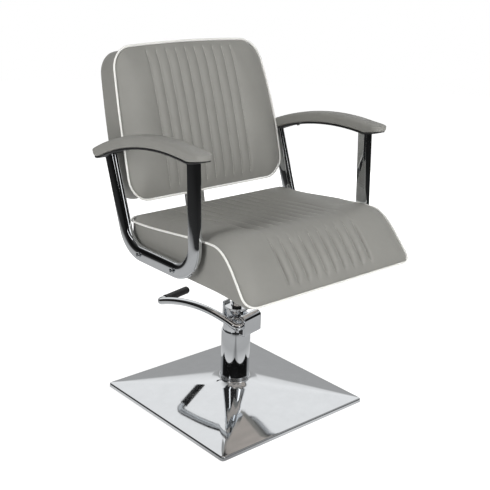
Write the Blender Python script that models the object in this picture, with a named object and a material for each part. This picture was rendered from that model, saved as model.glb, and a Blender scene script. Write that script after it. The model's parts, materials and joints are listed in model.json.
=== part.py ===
"""Hydraulic salon chair: a square pedestal with a foot pump, and an upholstered seat with arms and a back.

Metres, +Z up. The origin is on the floor, on the column's axis. The sitter faces -Y, with their left at +X.
"""
import math

import bmesh
import bpy
from mathutils import Matrix, Vector

# Clearance between pieces that seat on each other or run in each other, and facets of a round piece
GAP = 0.0003
ROUND = 24

# Pedestal
BASE_SIDE = 0.530
BASE_CORNER_RADIUS = 0.010
BASE_RISE = 0.034
COVER_WALL = 0.002
COVER_FOOT = 0.0015
FLOOR_PAD_THICKNESS = 0.003
BALLAST_THICKNESS = 0.008
NECK_WIDTH = 0.0075
NECK_RISE = 0.006
MOUTH_GAP = 0.001
COLLAR_WIDTH = 0.005
COLLAR_HEIGHT = 0.008

# Cylinder and column sleeve
CYLINDER_BORE = 0.060
CYLINDER_WALL = 0.005
CYLINDER_HEIGHT = 0.2034
SLEEVE_SPACE = 0.004
SLEEVE_WALL = 0.002
FLANGE_WIDTH = 0.019
FLANGE_THICKNESS = 0.008

# Pump head, turned a little from the chair
PUMP_YAW = math.radians(12)
HEAD_STEP = 0.003
HEAD_HEIGHT = 0.0467
LUG_WIDTH = 0.028
LUG_REACH = 0.004
LUG_ROOT = 0.010
LUG_RISE = 0.035
LUG_DROP = 0.027
LUG_SPACE = 0.003
CAP_DIAMETER = 0.063
CAP_HEIGHT = 0.0187
CAP_CHAMFER = 0.002
WIPER_WIDTH = 0.003
WIPER_HEIGHT = 0.0047
AXLE_OFFSET = 0.008
AXLE_HEIGHT = 0.0327
HOUSING_DEPTH = 0.0215
HOUSING_ABOVE = 0.024
HOUSING_BELOW = 0.026
HOUSING_WALL = 0.003
HOUSING_EDGE_RADIUS = 0.010
EAR_THICKNESS = 0.014
EAR_ROOT = 0.011
LEDGE_HEIGHT = 0.0167

# Foot lever, rocker and plunger
LEVER_DIAMETER = 0.018
LEVER_CLEARANCE = 0.006
LEVER_REACH = 0.296
LEVER_CAMBER = 0.0275
LEVER_CREST = 0.150
HANDLE_DROOP = 0.006
LEVER_BEND_RADIUS = 0.014
AXLE_DIAMETER = 0.012
HANDLE_LENGTH = 0.128
GRIP_LENGTH = 0.103
GRIP_DIAMETER = 0.019
GRIP_INSERT = 0.012
CLIP_WIDTH = 0.004
CLIP_THICKNESS = 0.0012
ROCKER_REACH = 0.018
ROCKER_LIFT = 0.0065
ROCKER_THICKNESS = 0.012
ROCKER_HUB_WALL = 0.003
ROCKER_NOSE_RADIUS = 0.0055
ROCKER_NECK = 0.005
NOTCH_SPACE = 0.004
NOTCH_DEPTH = 0.020
PLUNGER_DIAMETER = 0.010
PLUNGER_LENGTH = 0.0194
PLUNGER_CAP_WIDTH = 0.0025
PLUNGER_CAP_THICKNESS = 0.002
PLUNGER_BORE_FLOOR = 0.0025
SPRING_WIRE = 0.0012
SPRING_TURNS = 3

# Piston and rod
ROD_DIAMETER = 0.030
PISTON_HEIGHT = 0.020
PISTON_DEPTH = 0.045
SEAL_HEIGHT = 0.006
SEAL_WIDTH = 0.004
ROD_SHOWING = 0.1317
SHOULDER_WIDTH = 0.007
SHOULDER_HEIGHT = 0.003
WASHER_HEIGHT = 0.003

# Seat socket and plate
SOCKET_HEIGHT = 0.043
SOCKET_WALL = 0.011
SOCKET_TOP = 0.007
SOCKET_FLANGE_WIDTH = 0.014
SEAT_PLATE_WIDTH = 0.180
SEAT_PLATE_LENGTH = 0.140
SEAT_PLATE_SETBACK = -0.035
SEAT_PLATE_THICKNESS = 0.006
SEAT_PLATE_BOLT_INSET = 0.015

# Seat cushion: its edge from the rear over the crest to the toe, above the seat's underside
SEAT_WIDTH = 0.574
SEAT_FLARE = 0.005
SEAT_REAR = 0.119
SEAT_REAR_HEIGHT = 0.0985
SEAT_CREST = -0.235
SEAT_CREST_HEIGHT = 0.124
SEAT_TOE = -0.378
SEAT_TOE_HEIGHT = 0.005
SEAT_DISH = 0.004
SEAT_CROWN = 0.014
SEAT_REAR_CORNER = 0.025
SEAT_TOE_CORNER = 0.028
SEAT_TOP_ROWS = 4
SEAT_FRONT_ROWS = 8
FRAME_SIDE_INSET = 0.025
FRAME_FRONT = -0.300
FRAME_REAR_INSET = 0.020
FRAME_BASE = 0.015
RAIL_THICKNESS = 0.024
RAIL_HEIGHT = 0.045

# Sewn covers
CHANNEL_LINES = 10
CHANNEL_SPAN = 0.300
CHANNEL_DEPTH = 0.004
CHANNEL_LIP = 0.0055
CHANNEL_END = 0.020
CHANNEL_FADE = 0.030
EDGE_ROLL = 0.060
SIDE_DRAW_IN = 0.003
PIPING_DIAMETER = 0.0056
PIPING_GAP = 0.0004
PIPING_SIDES = 8
CORNER_STEPS = 3

# Backrest: its front edge leans back and bends back further with height
BACK_BOTTOM = 0.143
BACK_HEIGHT = 0.397
BACK_FRONT = 0.129
BACK_SLOPE = 0.2085
BACK_BEND = 0.25
BACK_NARROWER = 0.021
BACK_WIDEST = 0.110
BACK_TAPER = 0.36
BACK_THICKNESS = 0.081
BACK_CROWN = 0.014
BACK_ARCH = 0.005
BACK_LOW_CORNER = 0.060
BACK_TOP_CORNER = 0.045
BACK_ROWS = 7
BACK_ROLL = 0.0015
BACK_BOARD_WIDTH = 0.340
BACK_BOARD_HEIGHT = 0.320
BACK_BOARD_THICKNESS = 0.012
BACK_BOARD_DEPTH = 0.045

# Back bracket
BRACKET_WIDTH = 0.070
BRACKET_THICKNESS = 0.006
BRACKET_FRONT = 0.045
BRACKET_BEND_RADIUS = 0.040
BRACKET_RISE = 0.200
BRACKET_STEPS = 5
BRACKET_SEAT_BOLTS = (0.060, 0.085)
BRACKET_BACK_BOLTS = (0.060, 0.140)
BRACKET_GAP = 0.0006

# Arm frames and pads
ARM_STANDOFF = 0.0185
ARM_TUBE_HEIGHT = 0.040
ARM_TUBE_WIDTH = 0.020
ARM_TUBE_WALL = 0.002
ARM_TUBE_CORNER = 0.0065
ARM_BEND_RADIUS = 0.080
ARM_RUN_HEIGHT = 0.026
ARM_FRONT_POST = -0.182
ARM_REAR_CORNER = 0.091
ARM_REAR_LEAN = 0.373
ARM_BOLTS = (0.039, -0.108)
SPACER_DIAMETER = 0.018
PAD_OFFSET = 0.0035
PAD_WIDTH = 0.052
PAD_THICKNESS = 0.031
PAD_ARC_RADIUS = 0.700
PAD_CREST = -0.095
PAD_CREST_HEIGHT = 0.330
PAD_FRONT_REACH = 0.147
PAD_REAR_REACH = 0.352
PAD_TAPER = 0.040
PAD_TIP_SHARE = 0.45
PAD_STATIONS = 11
PLATE_WIDTH = 0.046
PLATE_THICKNESS = 0.0035
PLATE_FRONT_REACH = 0.105
PLATE_END_STATIONS = 2
PAD_SCREWS = (-0.021, 0.195)
PAD_SCREW_DEPTH = 0.012

# Fasteners: head diameter, head height, shank diameter, sides
M8_HEX = (0.015, 0.0055, 0.008, 6)
M8_BUTTON = (0.014, 0.0044, 0.008, 12)
M6_HEX = (0.0115, 0.004, 0.006, 6)
M5_PAN = (0.009, 0.003, 0.005, 8)

# Finishes: colour, roughness, metallic
CHROME = ((0.78, 0.79, 0.80), 0.06, 1.0)
STEEL = ((0.46, 0.47, 0.48), 0.35, 1.0)
ZINC = ((0.62, 0.63, 0.62), 0.30, 1.0)
BLACK_STEEL = ((0.02, 0.02, 0.02), 0.45, 0.0)
RUBBER = ((0.015, 0.015, 0.015), 0.75, 0.0)
NYLON = ((0.80, 0.79, 0.74), 0.50, 0.0)
PLYWOOD = ((0.55, 0.39, 0.22), 0.70, 0.0)
GREY_COVER = ((0.26, 0.255, 0.225), 0.45, 0.0)
WHITE_PIPING = ((0.82, 0.81, 0.76), 0.40, 0.0)

# Radii and levels of the pedestal and the lift
cylinder_inner = CYLINDER_BORE / 2
cylinder_outer = cylinder_inner + CYLINDER_WALL
sleeve_inner = cylinder_outer + SLEEVE_SPACE
column_radius = sleeve_inner + SLEEVE_WALL
neck_radius = column_radius + NECK_WIDTH
head_radius = column_radius - HEAD_STEP
rod_radius = ROD_DIAMETER / 2
rod_bore = rod_radius + GAP
ballast_z = FLOOR_PAD_THICKNESS + GAP
ballast_top = ballast_z + BALLAST_THICKNESS
lip_top = ballast_top + GAP + COVER_WALL
neck_top = lip_top + BASE_RISE + NECK_RISE
flange_z = ballast_top + GAP
flange_top = flange_z + FLANGE_THICKNESS
cylinder_top = flange_z + CYLINDER_HEIGHT
head_z = cylinder_top + GAP
head_top = head_z + HEAD_HEIGHT
cap_z = head_top + GAP
cap_top = cap_z + CAP_HEIGHT
wiper_z = cap_top + GAP
wiper_top = wiper_z + WIPER_HEIGHT
axle_y = -(head_radius + AXLE_OFFSET)
axle_z = head_z + AXLE_HEIGHT
shoulder_z = wiper_top + ROD_SHOWING
washer_z = shoulder_z + SHOULDER_HEIGHT + GAP
socket_z = washer_z + WASHER_HEIGHT + GAP
seat_plate_z = socket_z + SOCKET_HEIGHT + GAP
seat_z = seat_plate_z + SEAT_PLATE_THICKNESS + GAP

# Levels and places in the seat's own frame, whose zero is the seat's underside
seat_half = SEAT_WIDTH / 2
seat_side = seat_half - SIDE_DRAW_IN
frame_rear = SEAT_REAR - FRAME_REAR_INSET
frame_half = seat_half - FRAME_SIDE_INSET
back_half = seat_half - BACK_NARROWER / 2
arm_plane = seat_half + ARM_STANDOFF
pad_plane = arm_plane + PAD_OFFSET
lane_edge = CHANNEL_SPAN / 2 + CHANNEL_LIP
pad_centre = Vector((0, PAD_CREST, PAD_CREST_HEIGHT - PAD_ARC_RADIUS))
bracket_z = -GAP - BRACKET_THICKNESS / 2


def clear_scene():
    for old in list(bpy.data.objects):
        bpy.data.objects.remove(old)


def add_axis(name, location, parent=None, yaw=0.0):
    """An empty on an axis that pieces are placed from."""
    axis = bpy.data.objects.new(name, None)
    bpy.context.scene.collection.objects.link(axis)
    axis.location = location
    axis.rotation_euler = (0, 0, yaw)
    axis.parent = parent
    return axis


def add_mesh(name, bm, parent):
    bmesh.ops.recalc_face_normals(bm, faces=bm.faces)
    mesh = bpy.data.meshes.new(name)
    bm.to_mesh(mesh)
    bm.free()
    mesh.shade_smooth()
    mesh.set_sharp_from_angle(angle=math.radians(35))
    item = bpy.data.objects.new(name, mesh)
    bpy.context.scene.collection.objects.link(item)
    item.parent = parent
    return item


def add_piece(name, bm, finish, parent):
    """One sub-part with a material of its own."""
    piece = add_mesh(name, bm, parent)
    colour, roughness, metallic = finish
    material = bpy.data.materials.new(name + "_finish")
    material.use_nodes = True
    shader = material.node_tree.nodes["Principled BSDF"]
    shader.inputs["Base Color"].default_value = (*colour, 1.0)
    shader.inputs["Roughness"].default_value = roughness
    shader.inputs["Metallic"].default_value = metallic
    piece.data.materials.append(material)
    return piece


def shape_with(piece, label, bm, operation):
    """Cut a shape out of a piece, or join one to it."""
    tool = add_mesh(piece.name + "_" + label, bm, piece.parent)
    tool.hide_render = True
    tool.display_type = "WIRE"
    modifier = piece.modifiers.new(label, "BOOLEAN")
    modifier.operation = operation
    modifier.solver = "EXACT"
    modifier.object = tool


def loft_faces(bm, rings, closed=False):
    """Walls between rings of vertices that hold equally many, or one for a pole."""
    pairs = list(zip(rings, rings[1:]))
    if closed:
        pairs.append((rings[-1], rings[0]))
    for near, far in pairs:
        count = max(len(near), len(far))
        if count == 1:
            continue
        for i in range(count):
            j = (i + 1) % count
            corners = (near[i % len(near)], near[j % len(near)], far[j % len(far)], far[i % len(far)])
            bm.faces.new(tuple(dict.fromkeys(corners)))


def lofted(sections, closed=False):
    """A closed body through sections of points, with flat ends unless it closes on itself."""
    bm = bmesh.new()
    rings = [[bm.verts.new(point) for point in section] for section in sections]
    loft_faces(bm, rings, closed)
    if not closed:
        bm.faces.new(rings[0])
        bm.faces.new(rings[-1])
    return bm


def turned(outline, segments=ROUND):
    """A closed outline of (radius, z) turned round the Z axis."""
    bm = bmesh.new()
    turn = 2 * math.pi / segments
    rings = []
    for radius, z in outline:
        count = segments if radius else 1
        rings.append([bm.verts.new((radius * math.cos(turn * i), radius * math.sin(turn * i), z))
                      for i in range(count)])
    loft_faces(bm, rings, closed=True)
    return bm


def extruded(outline, start, end, along="X"):
    """An outline of (y, z) extruded along X, or of (x, z) along Y."""
    def place(distance, u, v):
        return (distance, u, v) if along == "X" else (u, distance, v)
    return lofted([[place(distance, u, v) for u, v in outline] for distance in (start, end)])


def boxed(low, high):
    outline = ((low[1], low[2]), (high[1], low[2]), (high[1], high[2]), (low[1], high[2]))
    return extruded(outline, low[0], high[0])


def add_rod(bm, start, end, radius, sides=12):
    """A plain round bar between two points, added to a mesh."""
    start = Vector(start)
    run = Vector(end) - start
    turn = Vector((0, 0, 1)).rotation_difference(run)
    place = Matrix.Translation(start + run / 2) @ turn.to_matrix().to_4x4()
    bmesh.ops.create_cone(bm, cap_ends=True, segments=sides, radius1=radius, radius2=radius,
                          depth=run.length, matrix=place)


def rods(spans, radius):
    bm = bmesh.new()
    for start, end in spans:
        add_rod(bm, start, end, radius)
    return bm


def add_bolt(name, parent, under_head, direction, kind, length, finish=ZINC):
    """A fastener whose head bears at a point and whose shank runs along a direction."""
    head_diameter, head_height, shank_diameter, sides = kind
    head = head_diameter / 2
    shank = shank_diameter / 2
    outline = ((0, -length), (shank, -length), (shank, 0), (head, 0),
               (head, head_height / 2), (head * 0.8, head_height), (0, head_height))
    bolt = add_piece(name, turned(outline, sides), finish, parent)
    bolt.location = under_head
    bolt.rotation_mode = "QUATERNION"
    bolt.rotation_quaternion = Vector((0, 0, 1)).rotation_difference(-Vector(direction))


def clear_radius(kind):
    return kind[2] / 2 + GAP


def rounded_rectangle(half_u, half_v, radius, steps=2):
    points = []
    for quarter in range(4):
        across = 1 if quarter in (0, 3) else -1
        up = 1 if quarter in (0, 1) else -1
        for step in range(steps + 1):
            angle = math.pi / 2 * (quarter + step / steps)
            points.append((across * (half_u - radius) + radius * math.cos(angle),
                           up * (half_v - radius) + radius * math.sin(angle)))
    return points


def corner_arc(before, corner, after, radius, steps):
    """Points and directions of travel round a filleted corner."""
    back = (before - corner).normalized()
    ahead = (after - corner).normalized()
    half = back.angle(ahead) / 2
    centre = corner + (back + ahead).normalized() * (radius / math.sin(half))
    start = corner + back * (radius / math.tan(half)) - centre
    axis = start.cross(-back).normalized()
    turn = math.pi - 2 * half
    spokes = [Matrix.Rotation(turn * step / steps, 3, axis) @ start for step in range(steps + 1)]
    return [(centre + spoke, axis.cross(spoke).normalized()) for spoke in spokes]


def flat_section(point, travel, outline):
    """A section across a path in the YZ plane: u along X, v square to the path."""
    across = Vector((1, 0, 0))
    square = across.cross(travel)
    return [point + across * u + square * v for u, v in outline]


def round_section(point, across, square, radius, sides):
    turn = 2 * math.pi / sides
    return [point + (across * math.cos(turn * i) + square * math.sin(turn * i)) * radius for i in range(sides)]


def tube(points, radii, sides):
    """A round bar along a path, its section carried along without twisting."""
    travels = [(after - before).normalized()
               for before, after in zip([points[0]] + points[:-1], points[1:] + [points[-1]])]
    across = travels[0].orthogonal().normalized()
    sections = []
    for point, travel, radius in zip(points, travels, radii):
        across = (across - travel * across.dot(travel)).normalized()
        sections.append(round_section(point, across, travel.cross(across), radius, sides))
    return lofted(sections)


def base_ring(half, corner, circle_radius=None):
    """Points round a square with rounded corners, or the matching points of a circle."""
    side_steps = 4
    corner_steps = 3
    side_angle = math.radians(41)
    corner_angle = math.pi / 2 - 2 * side_angle
    points = []
    for quarter in range(4):
        quarter_turn = Matrix.Rotation(math.pi / 2 * quarter, 2)
        for step in range(side_steps + 1):
            share = 2 * step / side_steps - 1
            place = Vector((half, share * (half - corner)))
            angle = share * side_angle
            if circle_radius:
                place = circle_radius * Vector((math.cos(angle), math.sin(angle)))
            points.append(quarter_turn @ place)
        for step in range(1, corner_steps):
            share = step / corner_steps
            bend = share * math.pi / 2
            place = Vector((half - corner, half - corner)) + corner * Vector((math.cos(bend), math.sin(bend)))
            angle = side_angle + share * corner_angle
            if circle_radius:
                place = circle_radius * Vector((math.cos(angle), math.sin(angle)))
            points.append(quarter_turn @ place)
    return points


def base_cover():
    """A thin square pyramid with an upright lip and a round neck for the column."""
    half = BASE_SIDE / 2
    hole = column_radius + MOUTH_GAP
    slope = BASE_RISE / (half - neck_radius)

    def roof(point):
        return lip_top + slope * (half - max(abs(point.x), abs(point.y)))

    def ring(points, level):
        return [(point.x, point.y, level(point) if callable(level) else level) for point in points]

    outer = base_ring(half, BASE_CORNER_RADIUS)
    inner = base_ring(half - COVER_WALL, BASE_CORNER_RADIUS - COVER_WALL)
    neck = base_ring(half, BASE_CORNER_RADIUS, neck_radius)
    neck_inner = base_ring(half, BASE_CORNER_RADIUS, neck_radius - COVER_WALL)
    mouth = base_ring(half, BASE_CORNER_RADIUS, hole)
    sections = [ring(outer, COVER_FOOT), ring(outer, lip_top), ring(neck, roof), ring(neck, neck_top),
                ring(mouth, neck_top), ring(mouth, neck_top - COVER_WALL),
                ring(neck_inner, neck_top - COVER_WALL), ring(neck_inner, lambda p: roof(p) - COVER_WALL),
                ring(inner, lip_top - COVER_WALL), ring(inner, COVER_FOOT)]
    return lofted(sections, closed=True)


def make_pedestal():
    plate_half = BASE_SIDE / 2 - COVER_WALL - GAP
    plate_corner = BASE_CORNER_RADIUS - COVER_WALL
    plate_ring = base_ring(plate_half, plate_corner)

    def slab(low, high):
        return lofted([[(p.x, p.y, z) for p in plate_ring] for z in (low, high)])

    add_piece("floor_pad", slab(0, FLOOR_PAD_THICKNESS), RUBBER, None)
    ballast = add_piece("ballast_plate", slab(ballast_z, ballast_top), BLACK_STEEL, None)
    add_piece("base_cover", base_cover(), CHROME, None)

    collar_z = neck_top + GAP
    collar_top = collar_z + COLLAR_HEIGHT
    hole = column_radius + GAP
    collar = ((hole + COLLAR_WIDTH, collar_z), (hole + COLLAR_WIDTH, collar_top - COLLAR_WIDTH / 2),
              (hole + COLLAR_WIDTH / 2, collar_top), (hole, collar_top), (hole, collar_z))
    add_piece("collar_ring", turned(collar), CHROME, None)

    flange_radius = column_radius + FLANGE_WIDTH
    barrel = ((0, flange_z), (flange_radius, flange_z), (flange_radius, flange_top), (cylinder_outer, flange_top),
              (cylinder_outer, cylinder_top), (cylinder_inner, cylinder_top), (cylinder_inner, flange_top),
              (0, flange_top))
    cylinder = add_piece("cylinder", turned(barrel), STEEL, None)
    sleeve_z = flange_top + GAP
    sleeve = ((column_radius, sleeve_z), (column_radius, cylinder_top), (sleeve_inner, cylinder_top),
              (sleeve_inner, sleeve_z))
    add_piece("column_cover", turned(sleeve), CHROME, None)

    bolt_circle = column_radius + FLANGE_WIDTH / 2
    bolt_length = FLANGE_THICKNESS + BALLAST_THICKNESS
    places = [Vector((x, y, 0)) * bolt_circle for x, y in ((1, 0), (0, 1), (-1, 0), (0, -1))]
    spans = [(place + Vector((0, 0, flange_top + GAP)), place) for place in places]
    for number, (head, _) in enumerate(spans, 1):
        add_bolt("cylinder_bolt_%d" % number, None, head, (0, 0, -1), M8_HEX, bolt_length)
    long_spans = [(head + Vector((0, 0, GAP)), place + Vector((0, 0, ballast_z / 2))) for head, place in spans]
    shape_with(cylinder, "bolt_holes", rods(long_spans, clear_radius(M8_HEX)), "DIFFERENCE")
    shape_with(ballast, "bolt_holes", rods(long_spans, clear_radius(M8_HEX)), "DIFFERENCE")


def make_pump_head(pump):
    rod_hole = rod_bore + GAP
    disc = ((head_radius, head_z), (head_radius, head_top), (rod_hole, head_top), (rod_hole, head_z))
    head = add_piece("pump_head", turned(disc), CHROME, pump)

    lug_low = head_top - LUG_DROP
    lug_back = head_radius + LUG_REACH
    lug_front = CAP_DIAMETER / 2 + LUG_SPACE
    lug_root = head_radius - LUG_ROOT
    lug_step = head_top - GAP
    lug = ((lug_root, lug_low), (lug_back, lug_low), (lug_back, head_top + LUG_RISE),
           (lug_front, head_top + LUG_RISE), (lug_front, lug_step), (lug_root, lug_step))
    shape_with(head, "lug", extruded(lug, -LUG_WIDTH / 2, LUG_WIDTH / 2), "UNION")

    housing_rear = -(head_radius + 2 * GAP)
    housing_front = housing_rear - HOUSING_DEPTH
    housing_low = axle_z - HOUSING_BELOW
    housing_top = axle_z + HOUSING_ABOVE
    housing_half = head_radius
    room_half = housing_half - HOUSING_WALL
    ear_half = room_half - GAP
    ear_front = housing_front + 2 * HOUSING_WALL
    ear_low = housing_low + 2 * HOUSING_WALL
    for side, label in ((1, "left_ear"), (-1, "right_ear")):
        span = sorted((side * (ear_half - EAR_THICKNESS), side * ear_half))
        ear = boxed((span[0], ear_front, ear_low), (span[1], -(head_radius - EAR_ROOT), head_top - 2 * GAP))
        shape_with(head, label, ear, "UNION")

    notch_half = ROCKER_THICKNESS / 2 + NOTCH_SPACE
    ledge = head_z + LEDGE_HEIGHT
    notch = boxed((-notch_half, -head_radius - NOTCH_SPACE, ledge),
                  (notch_half, -(head_radius - NOTCH_DEPTH), head_top + NOTCH_SPACE))
    shape_with(head, "notch", notch, "DIFFERENCE")
    plunger_y = axle_y + ROCKER_REACH
    bore = rods([((0, plunger_y, head_z + PLUNGER_BORE_FLOOR), (0, plunger_y, ledge + NOTCH_SPACE))],
                PLUNGER_DIAMETER / 2 + GAP)
    shape_with(head, "plunger_bore", bore, "DIFFERENCE")
    axle_span = [((-2 * housing_half, axle_y, axle_z), (2 * housing_half, axle_y, axle_z))]
    axle_hole = AXLE_DIAMETER / 2 + GAP
    shape_with(head, "axle_hole", rods(axle_span, axle_hole), "DIFFERENCE")

    edge = HOUSING_EDGE_RADIUS
    steps = 4
    bends = [math.pi / 2 * step / steps for step in range(steps + 1)]
    outline = [(housing_rear, housing_low), (housing_rear, housing_top)]
    outline += [(housing_front + edge * (1 - math.sin(bend)), housing_top - edge * (1 - math.cos(bend)))
                for bend in bends]
    outline.append((housing_front, housing_low))
    housing = add_piece("lever_housing", extruded(outline, -housing_half, housing_half), CHROME, pump)
    room = boxed((-room_half, housing_front + HOUSING_WALL, housing_low + HOUSING_WALL),
                 (room_half, housing_rear + HOUSING_WALL, housing_top - HOUSING_WALL))
    shape_with(housing, "room", room, "DIFFERENCE")
    shape_with(housing, "axle_hole", rods(axle_span, axle_hole), "DIFFERENCE")

    cap_radius = CAP_DIAMETER / 2
    cap = ((cap_radius, cap_z), (cap_radius, cap_top - CAP_CHAMFER), (cap_radius - CAP_CHAMFER, cap_top),
           (rod_hole, cap_top), (rod_hole, cap_z))
    add_piece("head_cap", turned(cap), CHROME, pump)
    wiper_radius = rod_bore + WIPER_WIDTH
    wiper = ((wiper_radius, wiper_z), (rod_bore + WIPER_WIDTH / 2, wiper_top), (rod_bore, wiper_top),
             (rod_bore, wiper_z))
    add_piece("rod_wiper", turned(wiper), RUBBER, pump)


def lever_arm_height(y):
    """The cambered arm's height above the axle at a distance behind it."""
    return LEVER_CAMBER * (1 - ((y - LEVER_CREST) / LEVER_CREST) ** 2)


def make_lever(lever):
    """The bent bar: an axle through the fork, an arm back past the column, and a handle across."""
    housing_half = head_radius
    bar = LEVER_DIAMETER / 2
    axle = AXLE_DIAMETER / 2
    arm_x = -(column_radius + LEVER_CLEARANCE + bar)
    clip_x = housing_half + GAP
    axle_end = clip_x + 2 * CLIP_THICKNESS
    shoulder_x = -housing_half - 2 * GAP
    handle_z = lever_arm_height(LEVER_REACH)
    handle = Vector((HANDLE_LENGTH, 0, -HANDLE_DROOP)).normalized()
    grip_start = HANDLE_LENGTH - GRIP_LENGTH
    insert_end = HANDLE_LENGTH - GRIP_INSERT

    arm_steps = 8
    arm_start = 2 * LEVER_BEND_RADIUS
    arm_end = LEVER_REACH - 2 * LEVER_BEND_RADIUS
    arm = []
    for step in range(arm_steps + 1):
        y = arm_start + (arm_end - arm_start) * step / arm_steps
        arm.append(Vector((arm_x, y, lever_arm_height(y))))
    hub_corner = Vector((arm_x, 0, 0))
    handle_corner = Vector((arm_x, LEVER_REACH, handle_z))
    handle_start = handle_corner + handle * (grip_start - GAP)
    hub_bend = corner_arc(Vector((0, 0, 0)), hub_corner, arm[0], LEVER_BEND_RADIUS, 5)
    handle_bend = corner_arc(arm[-1], handle_corner, handle_start, LEVER_BEND_RADIUS, 5)

    path = [(Vector((axle_end, 0, 0)), axle), (Vector((shoulder_x + GAP, 0, 0)), axle),
            (Vector((shoulder_x, 0, 0)), bar)]
    path += [(point, bar) for point, _ in hub_bend]
    path += [(point, bar) for point in arm]
    path += [(point, bar) for point, _ in handle_bend]
    path += [(handle_start - handle * GAP, bar), (handle_start, axle)]
    path.append((handle_corner + handle * insert_end, axle))
    add_piece("pump_lever", tube([point for point, _ in path], [radius for _, radius in path], 12), CHROME, lever)

    grip = GRIP_DIAMETER / 2
    bore = axle + GAP
    nose = grip * 0.45
    tip = HANDLE_LENGTH
    outline = ((bore, grip_start), (grip, grip_start), (grip, tip - nose), (grip * 0.8, tip - nose * 0.35),
               (grip * 0.35, tip), (0, tip), (0, insert_end + GAP), (bore, insert_end + GAP))
    grip_piece = add_piece("lever_grip", turned(outline, 16), RUBBER, lever)
    grip_piece.location = handle_corner
    grip_piece.rotation_euler = (0, math.pi / 2 + math.asin(-handle.z), 0)

    clip = ((bore + CLIP_WIDTH, clip_x), (bore + CLIP_WIDTH, clip_x + CLIP_THICKNESS),
            (bore, clip_x + CLIP_THICKNESS), (bore, clip_x))
    clip_piece = add_piece("lever_clip", turned(clip, 16), STEEL, lever)
    clip_piece.rotation_euler = (0, math.pi / 2, 0)
    rocker_piece = add_piece("lever_rocker", rocker(bore + ROCKER_HUB_WALL), STEEL, lever)
    axle_span = [((-ROCKER_THICKNESS, 0, 0), (ROCKER_THICKNESS, 0, 0))]
    shape_with(rocker_piece, "axle_hole", rods(axle_span, bore), "DIFFERENCE")


def rocker(hub):
    """A plate that turns with the axle and presses the plunger with its nose, which stands on a neck."""
    arc_steps = 12
    lean = math.atan2(ROCKER_LIFT, ROCKER_REACH)
    nose = ROCKER_NOSE_RADIUS
    nose_centre = Vector((ROCKER_REACH, ROCKER_LIFT))
    hub_start = math.asin(ROCKER_NECK / 2 / hub)
    nose_start = math.asin(ROCKER_NECK / 2 / nose) - math.pi

    def arc(centre, radius, start, end):
        angles = [lean + start + (end - start) * step / arc_steps for step in range(arc_steps + 1)]
        return [centre + radius * Vector((math.cos(angle), math.sin(angle))) for angle in angles]

    outline = arc(Vector((0, 0)), hub, hub_start, 2 * math.pi - hub_start)
    outline += arc(nose_centre, nose, nose_start, -nose_start)
    half = ROCKER_THICKNESS / 2
    return extruded([tuple(point) for point in outline], -half, half)


def make_plunger(plunger):
    """The plunger hangs from its cap just under the rocker's nose; its spring stands on the ledge."""
    cap_top_z = axle_z + ROCKER_LIFT - ROCKER_NOSE_RADIUS - 2 * GAP
    cap_low = cap_top_z - PLUNGER_CAP_THICKNESS
    shank = PLUNGER_DIAMETER / 2
    cap = shank + PLUNGER_CAP_WIDTH
    outline = ((0, cap_low - PLUNGER_LENGTH + PLUNGER_CAP_THICKNESS), (shank, cap_low - PLUNGER_LENGTH
               + PLUNGER_CAP_THICKNESS), (shank, cap_low), (cap, cap_low), (cap, cap_top_z), (0, cap_top_z))
    add_piece("pump_plunger", turned(outline, 16), STEEL, plunger)

    wire = SPRING_WIRE / 2
    coil = shank + 2 * GAP + wire
    low = head_z + LEDGE_HEIGHT + GAP + wire
    high = cap_low - GAP - wire
    points_per_turn = 9
    count = SPRING_TURNS * points_per_turn
    points = []
    for i in range(count + 1):
        angle = 2 * math.pi * i / points_per_turn
        points.append(Vector((coil * math.cos(angle), coil * math.sin(angle), low + (high - low) * i / count)))
    add_piece("plunger_spring", tube(points, [wire] * len(points), 5), STEEL, plunger)


def make_lift(lift):
    piston_top = cylinder_top - PISTON_DEPTH
    piston_z = piston_top - PISTON_HEIGHT
    skirt = cylinder_inner - GAP
    groove = skirt - SEAL_WIDTH
    seal_z = piston_z + (PISTON_HEIGHT - SEAL_HEIGHT) / 2
    seal_top = seal_z + SEAL_HEIGHT
    outline = ((0, piston_z), (skirt, piston_z), (skirt, seal_z), (groove, seal_z), (groove, seal_top),
               (skirt, seal_top), (skirt, piston_top), (0, piston_top))
    add_piece("piston", turned(outline), STEEL, lift)
    seal = ((skirt, seal_z + GAP), (skirt, seal_top - GAP), (groove + GAP, seal_top - GAP), (groove + GAP, seal_z + GAP))
    add_piece("piston_seal", turned(seal), RUBBER, lift)

    shoulder = rod_radius + SHOULDER_WIDTH
    shoulder_top = shoulder_z + SHOULDER_HEIGHT
    rod_top = socket_z + SOCKET_HEIGHT - SOCKET_TOP - GAP
    rod = ((0, piston_top + GAP), (rod_radius, piston_top + GAP), (rod_radius, shoulder_z), (shoulder, shoulder_z),
           (shoulder, shoulder_top), (rod_radius, shoulder_top), (rod_radius, rod_top), (0, rod_top))
    add_piece("piston_rod", turned(rod), CHROME, lift)
    washer_top = washer_z + WASHER_HEIGHT
    washer = ((shoulder, washer_z), (shoulder, washer_top), (rod_bore, washer_top), (rod_bore, washer_z))
    add_piece("thrust_washer", turned(washer), NYLON, lift)


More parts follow.
